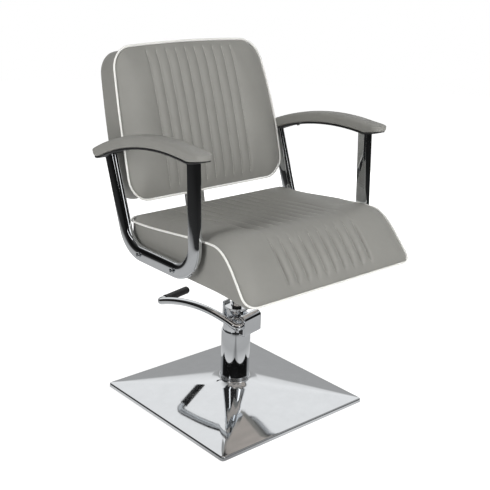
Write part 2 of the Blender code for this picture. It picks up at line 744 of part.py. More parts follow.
def make_seat_carrier(seat):
    """The socket that turns on the rod and the plate that carries the seat, in the seat's frame."""
    top = seat_plate_z - GAP - seat_z
    low = socket_z - seat_z
    body = rod_bore + SOCKET_WALL
    flange = body + SOCKET_FLANGE_WIDTH
    outline = ((rod_bore, low), (body, low), (body, top - SOCKET_TOP), (flange, top - SOCKET_TOP / 2), (flange, top),
               (0, top), (0, top - SOCKET_TOP), (rod_bore, top - SOCKET_TOP))
    add_piece("seat_socket", turned(outline), BLACK_STEEL, seat)

    half = SEAT_PLATE_WIDTH / 2
    rear = SEAT_PLATE_SETBACK + SEAT_PLATE_LENGTH / 2
    front = SEAT_PLATE_SETBACK - SEAT_PLATE_LENGTH / 2
    plate_low = -GAP - SEAT_PLATE_THICKNESS
    plate = add_piece("seat_plate", boxed((-half, front, plate_low), (half, rear, -GAP)), BLACK_STEEL, seat)
    inset = SEAT_PLATE_BOLT_INSET
    places = [(x, y) for x in (-half + inset, half - inset) for y in (front + inset, rear - inset)]
    length = SEAT_PLATE_THICKNESS + FRAME_BASE
    for number, (x, y) in enumerate(places, 1):
        add_bolt("seat_plate_bolt_%d" % number, seat, (x, y, plate_low - GAP), (0, 0, 1), M8_HEX, length)
    spans = [((x, y, plate_low - FRAME_BASE), (x, y, 2 * FRAME_BASE)) for x, y in places]
    shape_with(plate, "bolt_holes", rods(spans, clear_radius(M8_HEX)), "DIFFERENCE")
    return spans


def cubic(p0, p1, p2, p3, share):
    rest = 1 - share
    return p0 * rest ** 3 + p1 * (3 * rest ** 2 * share) + p2 * (3 * rest * share ** 2) + p3 * share ** 3


def seat_edge():
    """The seat's side edge as two curves that meet level at the crest: the dished top and the front."""
    rear = Vector((0, SEAT_REAR, SEAT_REAR_HEIGHT))
    crest = Vector((0, SEAT_CREST, SEAT_CREST_HEIGHT))
    toe = Vector((0, SEAT_TOE, SEAT_TOE_HEIGHT))
    top_run = crest - rear
    front_run = toe - crest
    rear_handle = rear + Vector((0, top_run.y * 0.30, -SEAT_DISH))
    top_handle = crest - Vector((0, top_run.y * 0.25, 0))
    front_handle = crest + Vector((0, front_run.y * 0.455, 0))
    toe_handle = toe - Vector((0, front_run.y * 0.265, front_run.z * 0.168))
    return (rear, rear_handle, top_handle, crest), (crest, front_handle, toe_handle, toe)


def walk(points):
    """Distances along a line of points."""
    distances = [0.0]
    for before, after in zip(points, points[1:]):
        distances.append(distances[-1] + (after - before).length)
    return distances


def at_distance(points, distances, wanted):
    """The point and direction at a distance along a line of points."""
    for i in range(len(points) - 1):
        if distances[i + 1] >= wanted or i == len(points) - 2:
            share = (wanted - distances[i]) / (distances[i + 1] - distances[i])
            travel = points[i + 1] - points[i]
            return points[i] + travel * share, travel.normalized()


def corner_rows(radius):
    """Distances from an end at which a rounded corner is drawn."""
    return [radius * (1 - math.cos(math.pi / 2 * step / CORNER_STEPS)) for step in range(CORNER_STEPS + 1)]


def corner_trim(distance, radius):
    """How far a rounded corner draws the side in at a distance from the end."""
    if distance >= radius:
        return 0.0
    return radius - math.sqrt(max(0.0, radius ** 2 - (radius - distance) ** 2))


def stitch_lines():
    pitch = CHANNEL_SPAN / (CHANNEL_LINES - 1)
    return [-CHANNEL_SPAN / 2 + pitch * i for i in range(CHANNEL_LINES)]


def cover_columns(half):
    """Places across a cover, each with its share of a stitch line's depth."""
    outer = [lane_edge + (half - lane_edge) * share for share in (0.3, 0.6, 0.85, 1.0)]
    columns = [(-x, 0.0) for x in reversed(outer)]
    for line in stitch_lines():
        columns += [(line - CHANNEL_LIP, 0.0), (line, 1.0), (line + CHANNEL_LIP, 0.0)]
    columns += [(x, 0.0) for x in outer]
    return columns


def fit_column(x, half, row_half):
    """A column's place on a row whose side is drawn in: the stitched lanes stay straight."""
    if abs(x) <= lane_edge:
        return x
    share = (abs(x) - lane_edge) / (half - lane_edge)
    return math.copysign(lane_edge + share * (row_half - lane_edge), x)


def swell(edge_distance, height):
    """The cover's rise at a distance from its seam."""
    share = min(max(edge_distance, 0.0) / EDGE_ROLL, 1.0)
    return height * (1 - (1 - share) ** 2)


def channel_fade(distance):
    return min(max((distance - CHANNEL_END) / CHANNEL_FADE, 0.0), 1.0)


def border(rows, columns):
    """Grid places round the edge of a cover."""
    loop = [(0, c) for c in range(columns)]
    loop += [(r, columns - 1) for r in range(1, rows)]
    loop += [(rows - 1, c) for c in range(columns - 2, -1, -1)]
    loop += [(r, 0) for r in range(rows - 2, 0, -1)]
    return loop


def outward_at_edge(points, normals):
    """Directions in the cover's surface that point out across its edge."""
    centre = sum(points, Vector()) / len(points)
    result = []
    for i, point in enumerate(points):
        travel = points[(i + 1) % len(points)] - points[i - 1]
        out = travel.cross(normals[i]).normalized()
        result.append(out if out.dot(point - centre) > 0 else -out)
    return result


def upholstered(grid, skirts, close_rows):
    """A closed body: a cover grid, rings of side wall from its edge, and a far side."""
    bm = bmesh.new()
    verts = [[bm.verts.new(point) for point in row] for row in grid]
    rows = len(grid)
    columns = len(grid[0])
    for r in range(rows - 1):
        for c in range(columns - 1):
            bm.faces.new((verts[r][c], verts[r][c + 1], verts[r + 1][c + 1], verts[r + 1][c]))
    loop = border(rows, columns)
    rings = [[verts[r][c] for r, c in loop]]
    rings += [[bm.verts.new(point) for point in skirt] for skirt in skirts]
    loft_faces(bm, rings)
    last = dict(zip(loop, rings[-1]))
    if not close_rows:
        bm.faces.new(rings[-1])
        return bm
    for r in range(rows - 1):
        near = [last[r, c] for c in range(columns) if (r, c) in last]
        far = [last[r + 1, c] for c in reversed(range(columns)) if (r + 1, c) in last]
        bm.faces.new(near + far)
    return bm


def piping(points, normals, outs):
    """A round cord laid in the corner along a seam."""
    radius = PIPING_DIAMETER / 2
    sections = []
    for i, point in enumerate(points):
        lean = (normals[i] + outs[i]).normalized()
        travel = (points[(i + 1) % len(points)] - points[i - 1]).normalized()
        lean = (lean - travel * lean.dot(travel)).normalized()
        centre = point + lean * (radius + PIPING_GAP)
        sections.append(round_section(centre, lean, travel.cross(lean), radius, PIPING_SIDES))
    return lofted(sections, closed=True)


def thin_loop(loop, rows, columns, every):
    """Positions in a border loop that keep every row end but few of the columns."""
    return [i for i, (r, c) in enumerate(loop) if 0 < r < rows - 1 or c in (0, columns - 1) or c % every == 0]


def make_seat_cushion(seat, plate_spans, bracket_spans):
    curves = seat_edge()
    smooth = 24
    points = [cubic(*curves[0], i / smooth) for i in range(smooth)]
    points += [cubic(*curves[1], i / smooth) for i in range(smooth + 1)]
    distances = walk(points)
    length = distances[-1]
    crest = distances[smooth]
    top_pitch = (crest - SEAT_REAR_CORNER) / SEAT_TOP_ROWS
    front_pitch = (length - SEAT_TOE_CORNER - crest) / SEAT_FRONT_ROWS
    rows = corner_rows(SEAT_REAR_CORNER)
    rows += [SEAT_REAR_CORNER + top_pitch * i for i in range(1, SEAT_TOP_ROWS + 1)]
    rows += [crest + front_pitch * i for i in range(1, SEAT_FRONT_ROWS)]
    rows += [length - distance for distance in reversed(corner_rows(SEAT_TOE_CORNER))]

    columns = cover_columns(seat_half)
    grid = []
    row_normals = []
    for row in rows:
        point, travel = at_distance(points, distances, row)
        normal = Vector((0, travel.z, -travel.y)).normalized()
        row_normals.append(normal)
        row_half = seat_half - corner_trim(row, SEAT_REAR_CORNER) - corner_trim(length - row, SEAT_TOE_CORNER)
        row_half += SEAT_FLARE * max(row - crest, 0) / (length - crest)
        line = []
        for x, groove in columns:
            place = fit_column(x, seat_half, row_half)
            edge = min(row_half - abs(place), row, length - row)
            rise = swell(edge, SEAT_CROWN) - groove * CHANNEL_DEPTH * channel_fade(min(row, length - row))
            line.append(Vector((place, 0, 0)) + point + normal * rise)
        grid.append(line)

    loop = border(len(rows), len(columns))
    edge_points = [grid[r][c] for r, c in loop]
    edge_normals = [row_normals[r] for r, _ in loop]
    outs = outward_at_edge(edge_points, edge_normals)
    skirts = []
    for share, inset in ((0.25, SIDE_DRAW_IN), (0.85, SIDE_DRAW_IN), (1.0, 2 * SIDE_DRAW_IN)):
        skirt = []
        for point, out in zip(edge_points, outs):
            level = Vector((out.x, out.y, 0)).normalized()
            foot = point - level * inset
            skirt.append(Vector((foot.x, foot.y, point.z * (1 - share))))
        skirts.append(skirt)
    cushion = add_piece("seat_cushion", upholstered(grid, skirts, False), GREY_COVER, seat)
    keep = thin_loop(loop, len(rows), len(columns), 6)
    cord = piping([edge_points[i] for i in keep], [edge_normals[i] for i in keep], [outs[i] for i in keep])
    add_piece("seat_piping", cord, WHITE_PIPING, seat)

    pocket = extruded(frame_outline(GAP, -FRAME_BASE), FRAME_FRONT - GAP, frame_rear + GAP, along="Y")
    shape_with(cushion, "pocket", pocket, "DIFFERENCE")
    board = extruded(frame_outline(0, 0), FRAME_FRONT, frame_rear, along="Y")
    frame = add_piece("seat_frame", board, PLYWOOD, seat)
    shape_with(frame, "plate_holes", rods(plate_spans + bracket_spans, clear_radius(M8_HEX)), "DIFFERENCE")

    rail_centre = frame_half - RAIL_THICKNESS / 2
    rail_spans = []
    side_spans = []
    for side in (1, -1):
        for y in ARM_BOLTS:
            rail_spans.append(((side * (rail_centre - RAIL_THICKNESS), y, ARM_RUN_HEIGHT),
                               (side * (rail_centre + RAIL_THICKNESS), y, ARM_RUN_HEIGHT)))
            side_spans.append(((side * rail_centre, y, ARM_RUN_HEIGHT),
                               (side * (seat_half + RAIL_THICKNESS), y, ARM_RUN_HEIGHT)))
    shape_with(frame, "rail_holes", rods(rail_spans, clear_radius(M8_BUTTON)), "DIFFERENCE")
    shape_with(cushion, "side_holes", rods(side_spans, clear_radius(M8_BUTTON)), "DIFFERENCE")


def frame_outline(grow, low):
    """The plywood frame across the seat: a base with a rail along each side."""
    half = frame_half + grow
    inner = frame_half - RAIL_THICKNESS - grow
    return ((-half, low), (half, low), (half, RAIL_HEIGHT + grow), (inner, RAIL_HEIGHT + grow),
            (inner, FRAME_BASE + grow), (-inner, FRAME_BASE + grow), (-inner, RAIL_HEIGHT + grow),
            (-half, RAIL_HEIGHT + grow))


def back_edge(height):
    """A point of the backrest's front edge at a height above its lower edge."""
    y = BACK_FRONT + BACK_SLOPE * height + BACK_BEND * height ** 2
    return Vector((0, y, BACK_BOTTOM + height))


def back_normal(height):
    """The way the backrest's front faces at a height."""
    return Vector((0, -1, BACK_SLOPE + 2 * BACK_BEND * height)).normalized()


def back_rear(height):
    return back_edge(height) - back_normal(height) * BACK_THICKNESS


def board_line(height):
    """The centre of the flat back board at a height above the backrest's lower edge."""
    lean = BACK_SLOPE + BACK_BEND * BACK_BOARD_HEIGHT
    return Vector((0, BACK_FRONT + BACK_BOARD_DEPTH + lean * height, BACK_BOTTOM + height))


def board_slab(low, high, half_width, thickness):
    """A flat slab on the back board's line."""
    travel = (board_line(high) - board_line(low)).normalized()
    half = thickness / 2
    outline = ((-half_width, -half), (half_width, -half), (half_width, half), (-half_width, half))
    return lofted([flat_section(board_line(height), travel, outline) for height in (low, high)])


def make_back_cushion(seat):
    half = back_half
    pitch = (BACK_HEIGHT - BACK_LOW_CORNER - BACK_TOP_CORNER) / BACK_ROWS
    rows = corner_rows(BACK_LOW_CORNER)
    rows += [BACK_LOW_CORNER + pitch * i for i in range(1, BACK_ROWS)]
    rows += [BACK_HEIGHT - distance for distance in reversed(corner_rows(BACK_TOP_CORNER))]
    columns = cover_columns(half)
    grid = []
    for row in rows:
        normal = back_normal(row)
        row_half = half - BACK_TAPER * max(row - BACK_WIDEST, 0) ** 2
        row_half -= corner_trim(row, BACK_LOW_CORNER) + corner_trim(BACK_HEIGHT - row, BACK_TOP_CORNER)
        line = []
        for x, groove in columns:
            place = fit_column(x, half, row_half)
            edge = min(row_half - abs(place), row, BACK_HEIGHT - row)
            ends = min(row, BACK_HEIGHT - row)
            rise = swell(edge, BACK_CROWN) - groove * CHANNEL_DEPTH * channel_fade(ends)
            arch = BACK_ARCH * (1 - (place / row_half) ** 2) * (row / BACK_HEIGHT) ** 4
            line.append(Vector((place, 0, 0)) + back_edge(row + arch) + normal * rise)
        grid.append(line)

    loop = border(len(rows), len(columns))
    edge_points = [grid[r][c] for r, c in loop]
    edge_normals = [back_normal(rows[r]) for r, _ in loop]
    outs = outward_at_edge(edge_points, edge_normals)
    skirts = []
    for share, inset in ((0.25, SIDE_DRAW_IN), (0.85, SIDE_DRAW_IN), (1.0, BACK_ROLL)):
        skirts.append([point - normal * BACK_THICKNESS * share - out * inset
                       for point, normal, out in zip(edge_points, edge_normals, outs)])
    cushion = add_piece("back_cushion", upholstered(grid, skirts, True), GREY_COVER, seat)
    keep = thin_loop(loop, len(rows), len(columns), 4)
    cord = piping([edge_points[i] for i in keep], [edge_normals[i] for i in keep], [outs[i] for i in keep])
    add_piece("back_piping", cord, WHITE_PIPING, seat)

    board_half = BACK_BOARD_WIDTH / 2
    slot = board_slab(-BACK_THICKNESS, BACK_BOARD_HEIGHT + GAP, board_half + GAP, BACK_BOARD_THICKNESS + 2 * GAP)
    shape_with(cushion, "slot", slot, "DIFFERENCE")
    board_low = BACK_BOARD_THICKNESS
    slab = board_slab(board_low, BACK_BOARD_HEIGHT, board_half, BACK_BOARD_THICKNESS)
    board = add_piece("back_board", slab, PLYWOOD, seat)
    reach = BACK_THICKNESS - BACK_BOARD_DEPTH
    spans = []
    for height in BRACKET_BACK_BOLTS:
        normal = back_normal(height)
        spans.append((back_rear(height) - normal * reach, back_rear(height) + normal * reach))
    shape_with(cushion, "bolt_holes", rods(spans, clear_radius(M6_HEX)), "DIFFERENCE")
    through = [(start, end + (end - start)) for start, end in spans]
    shape_with(board, "bolt_holes", rods(through, clear_radius(M6_HEX)), "DIFFERENCE")


def make_back_bracket(seat):
    """A flat bar from under the seat, bent up and carried along the backrest's rear face."""
    offset = BRACKET_GAP + BRACKET_THICKNESS / 2
    foot = back_rear(0) - back_normal(0) * offset
    climb = Vector((0, BACK_SLOPE, 1)).normalized()
    corner = foot - climb * ((foot.z - bracket_z) / climb.z)
    front = Vector((0, BRACKET_FRONT, bracket_z))
    stations = [(front, Vector((0, 1, 0)))]
    stations += corner_arc(front, corner, foot, BRACKET_BEND_RADIUS, 7)
    for step in range(BRACKET_STEPS + 1):
        height = BRACKET_RISE * step / BRACKET_STEPS
        normal = back_normal(height)
        stations.append((back_rear(height) - normal * offset, Vector((1, 0, 0)).cross(normal)))
    half = BRACKET_WIDTH / 2
    outline = rounded_rectangle(half, BRACKET_THICKNESS / 2, BRACKET_THICKNESS / 4, 1)
    stations = [(point, travel if travel.dot(climb) > 0 else -travel) for point, travel in stations]
    bar = lofted([flat_section(point, travel, outline) for point, travel in stations])
    bracket = add_piece("back_bracket", bar, CHROME, seat)

    low = bracket_z - BRACKET_THICKNESS / 2 - GAP
    seat_length = BRACKET_THICKNESS + FRAME_BASE
    spans = []
    for number, y in enumerate(BRACKET_SEAT_BOLTS, 1):
        add_bolt("bracket_seat_bolt_%d" % number, seat, (0, y, low), (0, 0, 1), M8_HEX, seat_length)
        spans.append(((0, y, low - FRAME_BASE), (0, y, 2 * FRAME_BASE)))
    shape_with(bracket, "seat_holes", rods(spans, clear_radius(M8_HEX)), "DIFFERENCE")
    back_spans = []
    for number, height in enumerate(BRACKET_BACK_BOLTS, 1):
        normal = back_normal(height)
        face = back_rear(height) - normal * (BRACKET_GAP + BRACKET_THICKNESS)
        length = BACK_THICKNESS - BACK_BOARD_DEPTH + BRACKET_THICKNESS
        add_bolt("bracket_back_bolt_%d" % number, seat, face - normal * GAP, normal, M6_HEX, length)
        back_spans.append((face - normal * BRACKET_THICKNESS, face + normal * 2 * BRACKET_THICKNESS))
    shape_with(bracket, "back_holes", rods(back_spans, clear_radius(M6_HEX)), "DIFFERENCE")
    return spans


def pad_point(reach, radius):
    """A point on an arc about the arm pad's centre, at a distance along the pad from its crest."""
    angle = reach / PAD_ARC_RADIUS
    return pad_centre + Vector((0, math.sin(angle), math.cos(angle))) * radius


def pad_travel(reach):
    angle = reach / PAD_ARC_RADIUS
    return Vector((0, math.cos(angle), -math.sin(angle)))


def meet_arc(point, direction, radius):
    """Where a line from a point inside an arc about the pad's centre meets it."""
    from_centre = Vector((0, point.y, point.z)) - pad_centre
    along = from_centre.dot(direction)
    return point + direction * (math.sqrt(along ** 2 + radius ** 2 - from_centre.length_squared) - along)


def pad_end_distance(reach):
    return min(PAD_FRONT_REACH + reach, PAD_REAR_REACH - reach)


def pad_lift(reach):
    """How far the pad's underside rises where the pad thins towards its ends."""
    short = max(1 - pad_end_distance(reach) / PAD_TAPER, 0.0)
    return PAD_THICKNESS * (1 - PAD_TIP_SHARE) * short ** 2


def pad_share(reach):
    """The share of the pad's full width at a place along it: both ends are round."""
    short = max(1 - pad_end_distance(reach) / (PAD_WIDTH / 2), 0.0)
    return math.sqrt(1 - short ** 2)


def arm_frame(side):
    """A flat tube: a leaning rear post, a bottom run and an upright front post, cut to the pad plate."""
    rear_corner = Vector((0, ARM_REAR_CORNER, ARM_RUN_HEIGHT))
    front_corner = Vector((0, ARM_FRONT_POST, ARM_RUN_HEIGHT))
    climb = Vector((0, ARM_REAR_LEAN, 1)).normalized()
    up = Vector((0, 0, 1))
    plate_low = PAD_ARC_RADIUS - GAP - PLATE_THICKNESS - 2 * GAP
    bends = corner_arc(rear_corner + climb, rear_corner, front_corner, ARM_BEND_RADIUS, 7)
    bends += corner_arc(rear_corner, front_corner, front_corner + up, ARM_BEND_RADIUS, 8)
    offset = Vector((side * arm_plane, 0, 0))

    def sections(inset):
        outline = rounded_rectangle(ARM_TUBE_WIDTH / 2 - inset, ARM_TUBE_HEIGHT / 2 - inset, ARM_TUBE_CORNER - inset)
        rings = [flat_section(point, travel, outline) for point, travel in bends]
        rear_end = [meet_arc(point, climb, plate_low) for point in rings[0]]
        front_end = [meet_arc(point, up, plate_low) for point in rings[-1]]
        return [[point + offset for point in ring] for ring in [rear_end] + rings + [front_end]]

    return lofted(sections(0) + sections(ARM_TUBE_WALL)[::-1], closed=True)


def pad_section(reach):
    """A pillow-shaped section of the pad."""
    sides = 16
    half = PAD_WIDTH / 2 * pad_share(reach)
    height = (PAD_THICKNESS - pad_lift(reach)) / 2
    outline = []
    for i in range(sides):
        angle = 2 * math.pi * (i + 0.5) / sides
        u = math.copysign(math.sqrt(abs(math.cos(angle))), math.cos(angle))
        v = math.copysign(math.sqrt(abs(math.sin(angle))), math.sin(angle))
        outline.append((half * u, height * v))
    return outline


def pad_stations():
    """Places along the pad at which it is drawn, closer together round its ends."""
    end_steps = 4
    ends = [PAD_WIDTH / 2 * (1 - math.cos(math.pi / 2 * i / end_steps)) for i in range(1, end_steps + 1)]
    front = [-PAD_FRONT_REACH + distance for distance in ends]
    rear = [PAD_REAR_REACH - distance for distance in reversed(ends)]
    pitch = (rear[0] - front[-1]) / (PAD_STATIONS + 1)
    middle = [front[-1] + pitch * i for i in range(1, PAD_STATIONS + 1)]
    return sorted(front + middle + rear + [-PLATE_FRONT_REACH])


def arm_pad(side):
    offset = Vector((side * pad_plane, 0, 0))
    sections = []
    for reach in pad_stations():
        point = pad_point(reach, PAD_ARC_RADIUS + (PAD_THICKNESS + pad_lift(reach)) / 2) + offset
        sections.append(flat_section(point, pad_travel(reach), pad_section(reach)))
    return lofted(sections)


def arm_pad_plate(side):
    thick = PLATE_THICKNESS / 2
    offset = Vector((side * pad_plane, 0, 0))
    sections = []
    stations = pad_stations()
    for reach in stations[stations.index(-PLATE_FRONT_REACH):-PLATE_END_STATIONS]:
        half = PLATE_WIDTH / 2 * pad_share(reach)
        outline = ((-half, -thick), (half, -thick), (half, thick), (-half, thick))
        point = pad_point(reach, PAD_ARC_RADIUS + pad_lift(reach) - GAP - thick) + offset
        sections.append(flat_section(point, pad_travel(reach), outline))
    return lofted(sections)


def make_arm(seat, side, label):
    frame = add_piece("arm_frame_" + label, arm_frame(side), CHROME, seat)
    pad = add_piece("arm_pad_" + label, arm_pad(side), GREY_COVER, seat)
    plate = add_piece("arm_pad_plate_" + label, arm_pad_plate(side), BLACK_STEEL, seat)

    outer_face = arm_plane + ARM_TUBE_WIDTH / 2
    inner_face = arm_plane - ARM_TUBE_WIDTH / 2
    rail_face = frame_half - RAIL_THICKNESS
    length = outer_face - rail_face
    spans = []
    for y, place in zip(ARM_BOLTS, ("rear", "front")):
        head = Vector((side * (outer_face + GAP), y, ARM_RUN_HEIGHT))
        add_bolt("arm_bolt_%s_%s" % (label, place), seat, head, (-side, 0, 0), M8_BUTTON, length, CHROME)
        spans.append((head + Vector((side * GAP, 0, 0)), Vector((side * seat_half, y, ARM_RUN_HEIGHT))))
        bore = clear_radius(M8_BUTTON)
        low = seat_side + GAP
        high = inner_face - GAP
        ring = ((SPACER_DIAMETER / 2, low), (SPACER_DIAMETER / 2, high), (bore, high), (bore, low))
        spacer = add_piece("arm_spacer_%s_%s" % (label, place), turned(ring, 12), BLACK_STEEL, seat)
        spacer.location = (0, y, ARM_RUN_HEIGHT)
        spacer.rotation_euler = (0, side * math.pi / 2, 0)
    shape_with(frame, "bolt_holes", rods(spans, clear_radius(M8_BUTTON)), "DIFFERENCE")

    screw_spans = []
    for reach, place in zip(PAD_SCREWS, ("front", "rear")):
        offset = Vector((side * pad_plane, 0, 0))
        under = pad_point(reach, PAD_ARC_RADIUS - 3 * GAP - PLATE_THICKNESS) + offset
        tip = pad_point(reach, PAD_ARC_RADIUS + PAD_SCREW_DEPTH) + offset
        upward = (tip - under).normalized()
        add_bolt("pad_screw_%s_%s" % (label, place), seat, under, upward, M5_PAN, (tip - under).length - GAP)
        screw_spans.append((under - upward * GAP, tip))
    shape_with(plate, "screw_holes", rods(screw_spans, clear_radius(M5_PAN)), "DIFFERENCE")
    shape_with(pad, "screw_holes", rods(screw_spans, clear_radius(M5_PAN)), "DIFFERENCE")


def main():
    clear_scene()
    make_pedestal()
    pump = add_axis("pump_axis", (0, 0, 0), yaw=PUMP_YAW)
    make_pump_head(pump)
    make_lever(add_axis("lever_axis", (0, axle_y, axle_z), pump))
    make_plunger(add_axis("plunger_axis", (0, axle_y + ROCKER_REACH, 0), pump))
    make_lift(add_axis("lift_axis", (0, 0, 0)))
    seat = add_axis("swivel_axis", (0, 0, seat_z))
    plate_spans = make_seat_carrier(seat)
    bracket_spans = make_back_bracket(seat)
    make_seat_cushion(seat, plate_spans, bracket_spans)
    make_back_cushion(seat)
    make_arm(seat, 1, "left")
    make_arm(seat, -1, "right")
    bpy.context.view_layer.update()


main()
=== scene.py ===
import json
import math

import bmesh
import bpy
from mathutils import Matrix, Vector, noise


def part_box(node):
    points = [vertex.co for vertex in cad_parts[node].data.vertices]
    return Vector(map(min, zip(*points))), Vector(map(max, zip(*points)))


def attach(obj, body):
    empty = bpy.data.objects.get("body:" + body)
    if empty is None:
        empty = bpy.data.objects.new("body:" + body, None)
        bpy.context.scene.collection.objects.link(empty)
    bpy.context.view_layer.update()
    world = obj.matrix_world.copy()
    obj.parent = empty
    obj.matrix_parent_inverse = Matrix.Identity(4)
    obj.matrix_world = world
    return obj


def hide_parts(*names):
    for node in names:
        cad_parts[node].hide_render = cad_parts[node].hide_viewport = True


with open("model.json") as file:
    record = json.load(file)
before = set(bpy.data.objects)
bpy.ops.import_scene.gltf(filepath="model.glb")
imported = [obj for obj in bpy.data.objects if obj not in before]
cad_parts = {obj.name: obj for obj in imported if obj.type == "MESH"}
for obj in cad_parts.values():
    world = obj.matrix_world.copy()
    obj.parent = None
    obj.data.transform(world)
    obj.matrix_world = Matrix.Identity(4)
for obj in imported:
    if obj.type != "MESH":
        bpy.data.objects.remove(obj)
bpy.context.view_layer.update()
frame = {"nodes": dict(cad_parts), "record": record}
nodes = frame["nodes"]

GAP = 0.0003
PUMP_YAW = math.radians(12)

# Levels and radii, read from the CAD nodes
seat_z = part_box("seat_frame")[0].z
column_low, column_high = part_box("column_cover")
column_radius = column_high.x
head_radius = column_radius - 0.003
head_z = column_high.z + GAP
head_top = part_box("head_cap")[0].z - GAP
base_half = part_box("base_cover")[1].x + 0.0055
lip_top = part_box("ballast_plate")[1].z + 0.0015
neck_radius = column_radius + 0.0075
FACE_SLOPE = 0.198
neck_top = lip_top + FACE_SLOPE * (base_half - neck_radius * math.sqrt(0.5)) + 0.0040
sleeve_radius = column_radius + 0.0018
axle_y = -(head_radius + 0.008)
axle_z = head_z + 0.0327

# Seat, in its own frame: the edge from the rear over the crest to the toe
SEAT_HALF = 0.287
SEAT_FLARE = 0.011
SEAT_REAR = (0.135, 0.0955)
SEAT_CREST = (-0.235, 0.1215)
SEAT_TOE = (-0.380, 0.004)
SEAT_CROWN = 0.0145
SEAT_ROLL = 0.030
KNEE_ROLL = 0.0035
KNEE_VALLEY = 0.0065
SEAT_REAR_CORNER = 0.036
SEAT_TOE_CORNER = 0.031
POCKET_LOW = Vector((-0.2623, -0.3003))
POCKET_HIGH = Vector((0.2623, 0.0993))
POCKET_DEPTH = 0.0453

# Backrest
BACK_BOTTOM = 0.143
BACK_HEIGHT = 0.397
BACK_FRONT = 0.129
BACK_SLOPE = 0.2085
BACK_BEND = 0.25
BACK_HALF = 0.2765
BACK_WIDEST = 0.110
BACK_TAPER = 0.30
BACK_THICKNESS = 0.081
BACK_CROWN = 0.014
BACK_ARCH = 0.005
BACK_LOW_CORNER = 0.060
BACK_REAR_RISE = 0.012
BACK_REAR_DROP = 0.006
BACK_TOP_CORNER = 0.054

# Sewn covers. A stitch line holds the cover down where its sewing is past STITCH_HOLD.
CHANNEL_LINES = 10
CHANNEL_SPAN = 0.300
CHANNEL_PUFF = 0.0048
CHANNEL_STEPS = 10
LANE_MARGIN = 0.010
EDGE_ROLL = 0.060
PIPING_RADIUS = 0.0028
ROW_PITCH = 0.0075
STITCH_PITCH = 0.0042
STITCH_LENGTH = 0.0030
STITCH_RADIUS = 0.00048
STITCH_RISE = 0.0007
STITCH_HOLD = 0.3
CUSHION_SWELL = 0.004
PAD_SWELL = 0.002
CLOTH_FRAMES = 20
CLOTH = {"quality": 2, "mass": 0.3, "tension_stiffness": 15, "compression_stiffness": 15,
         "shear_stiffness": 5, "bending_stiffness": 1, "vertex_group_mass": "pins", "use_pressure": True,
         "uniform_pressure_force": 4}

# Boxing of the covers: share of the way from the seam, inset
SEAT_BOXING = ((0.04, 0.0006), (0.12, 0.0008), (0.30, 0.0003), (0.50, 0.0), (0.70, 0.0003), (0.86, 0.0012),
               (0.95, 0.0028), (0.985, 0.0048), (1.0, 0.0080))
BACK_BOXING = ((0.04, 0.0012), (0.12, 0.0030), (0.30, 0.0040), (0.50, 0.0042), (0.70, 0.0036), (0.88, 0.0026),
               (0.96, 0.0022), (0.99, 0.0035), (1.0, 0.0065))

# Arms
ARM_PLANE = 0.3062
ARM_RUN_HEIGHT = 0.026
ARM_FRONT_POST = -0.189
ARM_FRONT_LEAN = 0.050
ARM_REAR_CORNER = 0.097
ARM_REAR_LEAN = 0.351
ARM_BEND_RADIUS = 0.080
ARM_TUBE_HALF_WIDTH = 0.0122
ARM_TUBE_HALF_DEPTH = 0.0215
ARM_TUBE_EXPONENT = 2 / 2.6
ARM_TUBE_WALL = 0.002
ARM_BOLTS = (("rear", 0.039), ("front", -0.108))
PAD_PLANE = 0.309
PAD_WIDTH = 0.052
PAD_THICKNESS = 0.031
PAD_ARC_RADIUS = 0.700
PAD_CREST = -0.095
PAD_CREST_HEIGHT = 0.330
PAD_FRONT_REACH = 0.137
PAD_REAR_REACH = 0.352
PAD_TAPER = 0.040
PAD_TIP_SHARE = 0.45
PAD_OVERHANG = 0.084
PAD_TIP = 0.011
PAD_FRONT_RISE = 0.003
PAD_SPLAY = 0.014
PAD_SPLAY_CENTRE = 0.105
PLATE_THICKNESS = 0.0035
PLATE_HALF_WIDTH = 0.0235

# Photograph's camera
CAMERA_PLACE = Vector((-1.6463, -1.8693, 1.3257))
CAMERA_RIGHT = Vector((0.7528, -0.6574, 0.0330))
CAMERA_UP = Vector((0.1891, 0.2640, 0.9458))
CAMERA_LENS = 67.83


# Materials

def new_material(name):
    material = bpy.data.materials.new(name)
    material.use_nodes = True
    tree = material.node_tree
    return material, tree, tree.nodes["Principled BSDF"]


def feed(tree, socket, value):
    """Give an input a value, or link another node's output to it."""
    if isinstance(value, bpy.types.NodeSocket):
        tree.links.new(value, socket)
    else:
        socket.default_value = value


def add_node(tree, kind, *inputs, **values):
    """A node with its settings. What its inputs take comes in their order or by name."""
    node = tree.nodes.new(kind)
    for key, value in values.items():
        if key in node.inputs:
            feed(tree, node.inputs[key], value)
        else:
            setattr(node, key, value)
    for socket, value in zip(node.inputs, inputs):
        feed(tree, socket, value)
    return node


def calculate(tree, operation, *inputs):
    return add_node(tree, "ShaderNodeMath", *inputs, operation=operation).outputs["Value"]


def object_place(tree):
    return tree.nodes.new("ShaderNodeTexCoord").outputs["Object"]


def stretched_place(tree, scale):
    return add_node(tree, "ShaderNodeMapping", Vector=object_place(tree), Scale=scale).outputs["Vector"]


def noise_value(tree, place, scale, detail, roughness=0.5):
    node = add_node(tree, "ShaderNodeTexNoise", Vector=place, Scale=scale, Detail=detail, Roughness=roughness)
    return node.outputs["Fac"]


def remap(tree, value, low, high, start=0.3, end=0.7):
    return add_node(tree, "ShaderNodeMapRange", value, start, end, low, high).outputs["Result"]


